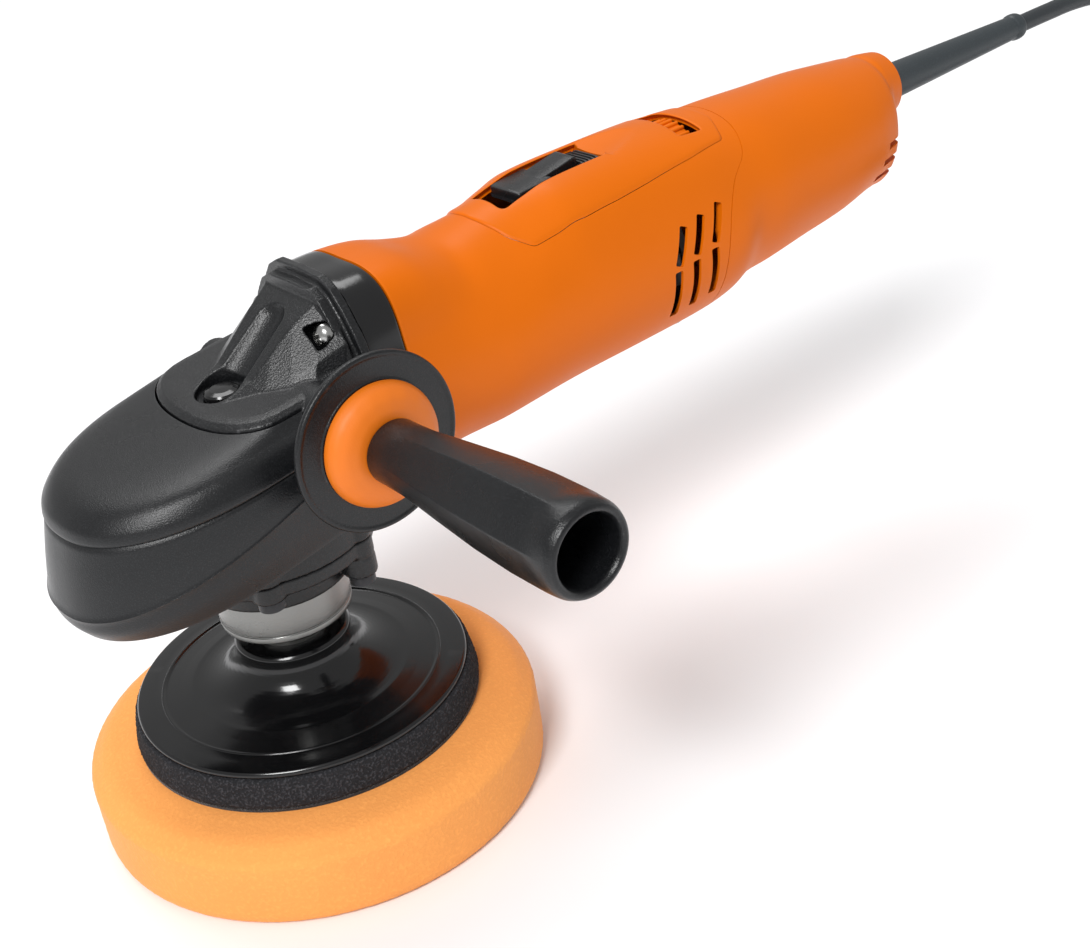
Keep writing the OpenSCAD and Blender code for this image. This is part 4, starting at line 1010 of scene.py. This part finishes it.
def make_grip():
    """The grip: round at both ends and six-sided between, with a deep bore in its open end."""
    start, end = GRIP_START, GRIP_END
    profile = [(0, start), (9.2, start), (9.7, start + 0.6), (9.7, start + 4), (9.95, start + 12),
               (11.3, start + 26), (13.1, start + 46), (13.9, start + 62), (13.95, end - 7),
               (13.6, end - 2.4), (12.6, end - 0.4), (11.6, end), (10.8, end - 0.4), (10.2, end - 1.6),
               (10.1, end - 62), (0, end - 62)]
    profile = fine(rounded(profile, 2.0, 5), 1.4)

    def facets(radius, along, a):
        in_bore = radius < 10.3 and along > end - 62.5
        if radius < 9.6 or (along > end - 1.7 and radius < 11.5) or in_bore:
            return radius, along
        share = float(smooth_step((along - start - 4) / 24) * smooth_step((end - 3 - along) / 10))
        sector = (a + math.radians(12)) % (math.pi / 3) - math.pi / 6
        flat = math.cos(math.pi / 6) / math.cos(sector)
        return radius * (1 + share * 0.62 * (flat - 0.985)), along

    points, faces = lathe(profile, along_handle, 288, facets)
    return piece("grip", points, faces, "black_plastic", "housing", ["handle_grip"], sharp=50)


def make_relief():
    """The cord's tapering sleeve, with a collar inside the housing and a bead at its end."""
    profile = [(0, 271.5), (8.3, 271.5), (8.5, 272), (8.5, 274.6), (8.2, 275), (7, 275), (7, 294),
               (6.75, 300), (4.72, 370), (4.75, 370.6), (5.2, 371.4), (5.36, 373), (5.2, 374.8), (4.7, 375.8),
               (4.2, 376), (0, 376)]
    points, faces = lathe(fine(rounded(profile, 0.8, 4), 3.0), along_cord, 96)
    return piece("cord_sleeve", points, faces, "grey_rubber", "housing", ["strain_relief"], sharp=40)


make_guard()
make_soft_ring()
make_grip()
make_relief()

# ------------------------------------------------------------------ slide switch

# The thumb piece's two ends and the underside of its blocks, then the half widths of its parts
SLIDE_FRONT, SLIDE_REAR, SLIDE_LOW = 110.5, 147.2, 168.2
BLOCK_HALF, WEDGE_HALF, BASE_HALF = 7.7, 5.2, 8.2


def across(outline, half, edge=0.35):
    """A side view (x, z) given width along y, with its long edges softened."""
    middle = outline.mean(0)
    rings = []
    for y, shrink in ((-half, edge), (-half + 0.6 * edge, 0.3 * edge), (-half + edge, 0), (half - edge, 0),
                      (half - 0.6 * edge, 0.3 * edge), (half, edge)):
        size = np.abs(outline - middle).max(0)
        rings.append([(x, y, z) for x, z in middle + (outline - middle) * (1 - shrink / size)])
    return loft(rings)


def slide_block(top, radius, half):
    """A block of the thumb piece from its top line (x, z), with its underside flat."""
    line = [(top[0][0], SLIDE_LOW)] + top
    line += [] if top[-1][1] == SLIDE_LOW else [(top[-1][0], SLIDE_LOW)]
    return across(smooth_line(line, 0.5, closed=True, radius=radius), half)


def slide_rib(x, y, half_width, half_length, levels, steps):
    """A rib across the thumb piece; levels are (height, share of the full outline)."""
    outline = stadium(half_width, -half_length, half_length, steps)
    return loft([[(x + u * share, y + v * share, z) for u, v in outline] for z, share in levels])


def make_slider():
    """The thumb piece: a flat front block, a wedge that rises to a crest, and a low ribbed rear part."""
    shapes = [
        slide_block([(110.6, 172.0), (125, 173.0)], 0.5, BLOCK_HALF),
        slide_block([(121.5, 172.7), (136.8, 175.4), (137.8, 175.1), (138.1, SLIDE_LOW)], 0.45, WEDGE_HALF),
        slide_block([(136, 171.8), (146.6, 171.9), (147.2, 171.4)], 0.4, BLOCK_HALF),
        slide_block([(124, 171.5), (137, 171.6)], 0.4, BLOCK_HALF - 0.1),
    ]
    rear_rib = ((171.2, 1), (172.5, 1), (172.75, 0.8))
    side_rib = ((171, 1), (172.1, 1))
    shapes += [slide_rib(139.6 + 1.6 * i, 0, 0.42, 6.4, rear_rib, 5) for i in range(5)]
    shapes += [slide_rib(126.4 + 1.8 * i, y, 0.4, 0.9, side_rib, 4) for i in range(6) for y in (-6.5, 6.5)]
    corners = [(SLIDE_FRONT, BASE_HALF), (SLIDE_REAR, BASE_HALF), (SLIDE_REAR, -BASE_HALF),
               (SLIDE_FRONT, -BASE_HALF)]
    base = smooth_line(corners, 1.0, closed=True, radius=1.0)
    shapes.append(loft([[(x, y, z) for x, y in base] for z in (168.0, 169.0)]))
    points, faces = join_shapes(shapes)
    return piece("thumb_slide", points, faces, "black_plastic", "slide_switch", ["slide_switch"], sharp=35)


make_slider()

# ------------------------------------------------------------------ stage and light

# Direction and distance of the key light from the object's middle, in metres like the rest of the stage
KEY_DIRECTION = (-0.59, -0.37, 0.72)
KEY_DISTANCE = 4
STAGE_CENTRE = (0.13, -0.02, 0.09)
FLOOR_HALF = 8
WORLD_LIGHT = 0.5


def aim(made, place, target):
    """Places a light and turns it towards its target."""
    made.location = place
    made.rotation_euler = (Vector(target) - Vector(place)).to_track_quat("-Z", "Y").to_euler()


def soft_light(name, place, target, size, power):
    """A white rectangular light."""
    data = bpy.data.lights.new(name, "AREA")
    data.shape = "RECTANGLE"
    data.size, data.size_y = size
    data.energy = power
    made = bpy.data.objects.new(name, data)
    scene.collection.objects.link(made)
    aim(made, place, target)


def make_stage():
    """A pale floor, an even white surround and two soft lights."""
    mesh = bpy.data.meshes.new("floor")
    corners = [(-FLOOR_HALF, -FLOOR_HALF, 0), (FLOOR_HALF, -FLOOR_HALF, 0), (FLOOR_HALF, FLOOR_HALF, 0),
               (-FLOOR_HALF, FLOOR_HALF, 0)]
    mesh.from_pydata(corners, [], [(0, 1, 2, 3)])
    floor = bpy.data.objects.new("floor", mesh)
    scene.collection.objects.link(floor)
    mesh.materials.append(surface("studio_floor", (0.93, 0.93, 0.94), 0.8, 60, 0.00001, 0.995, specular=0.1))
    world = bpy.data.worlds.new("studio")
    world.use_nodes = True
    background = world.node_tree.nodes["Background"]
    background.inputs["Color"].default_value = (1, 1, 1, 1)
    background.inputs["Strength"].default_value = WORLD_LIGHT
    scene.world = world
    centre = Vector(STAGE_CENTRE)
    key = centre + Vector(KEY_DIRECTION).normalized() * KEY_DISTANCE
    soft_light("key", key, centre, (1.3, 1.3), 118)
    soft_light("top", (0.6, 1.6, 3.2), centre, (2.4, 1.2), 45)
    scene.view_settings.view_transform = "Standard"


make_stage()
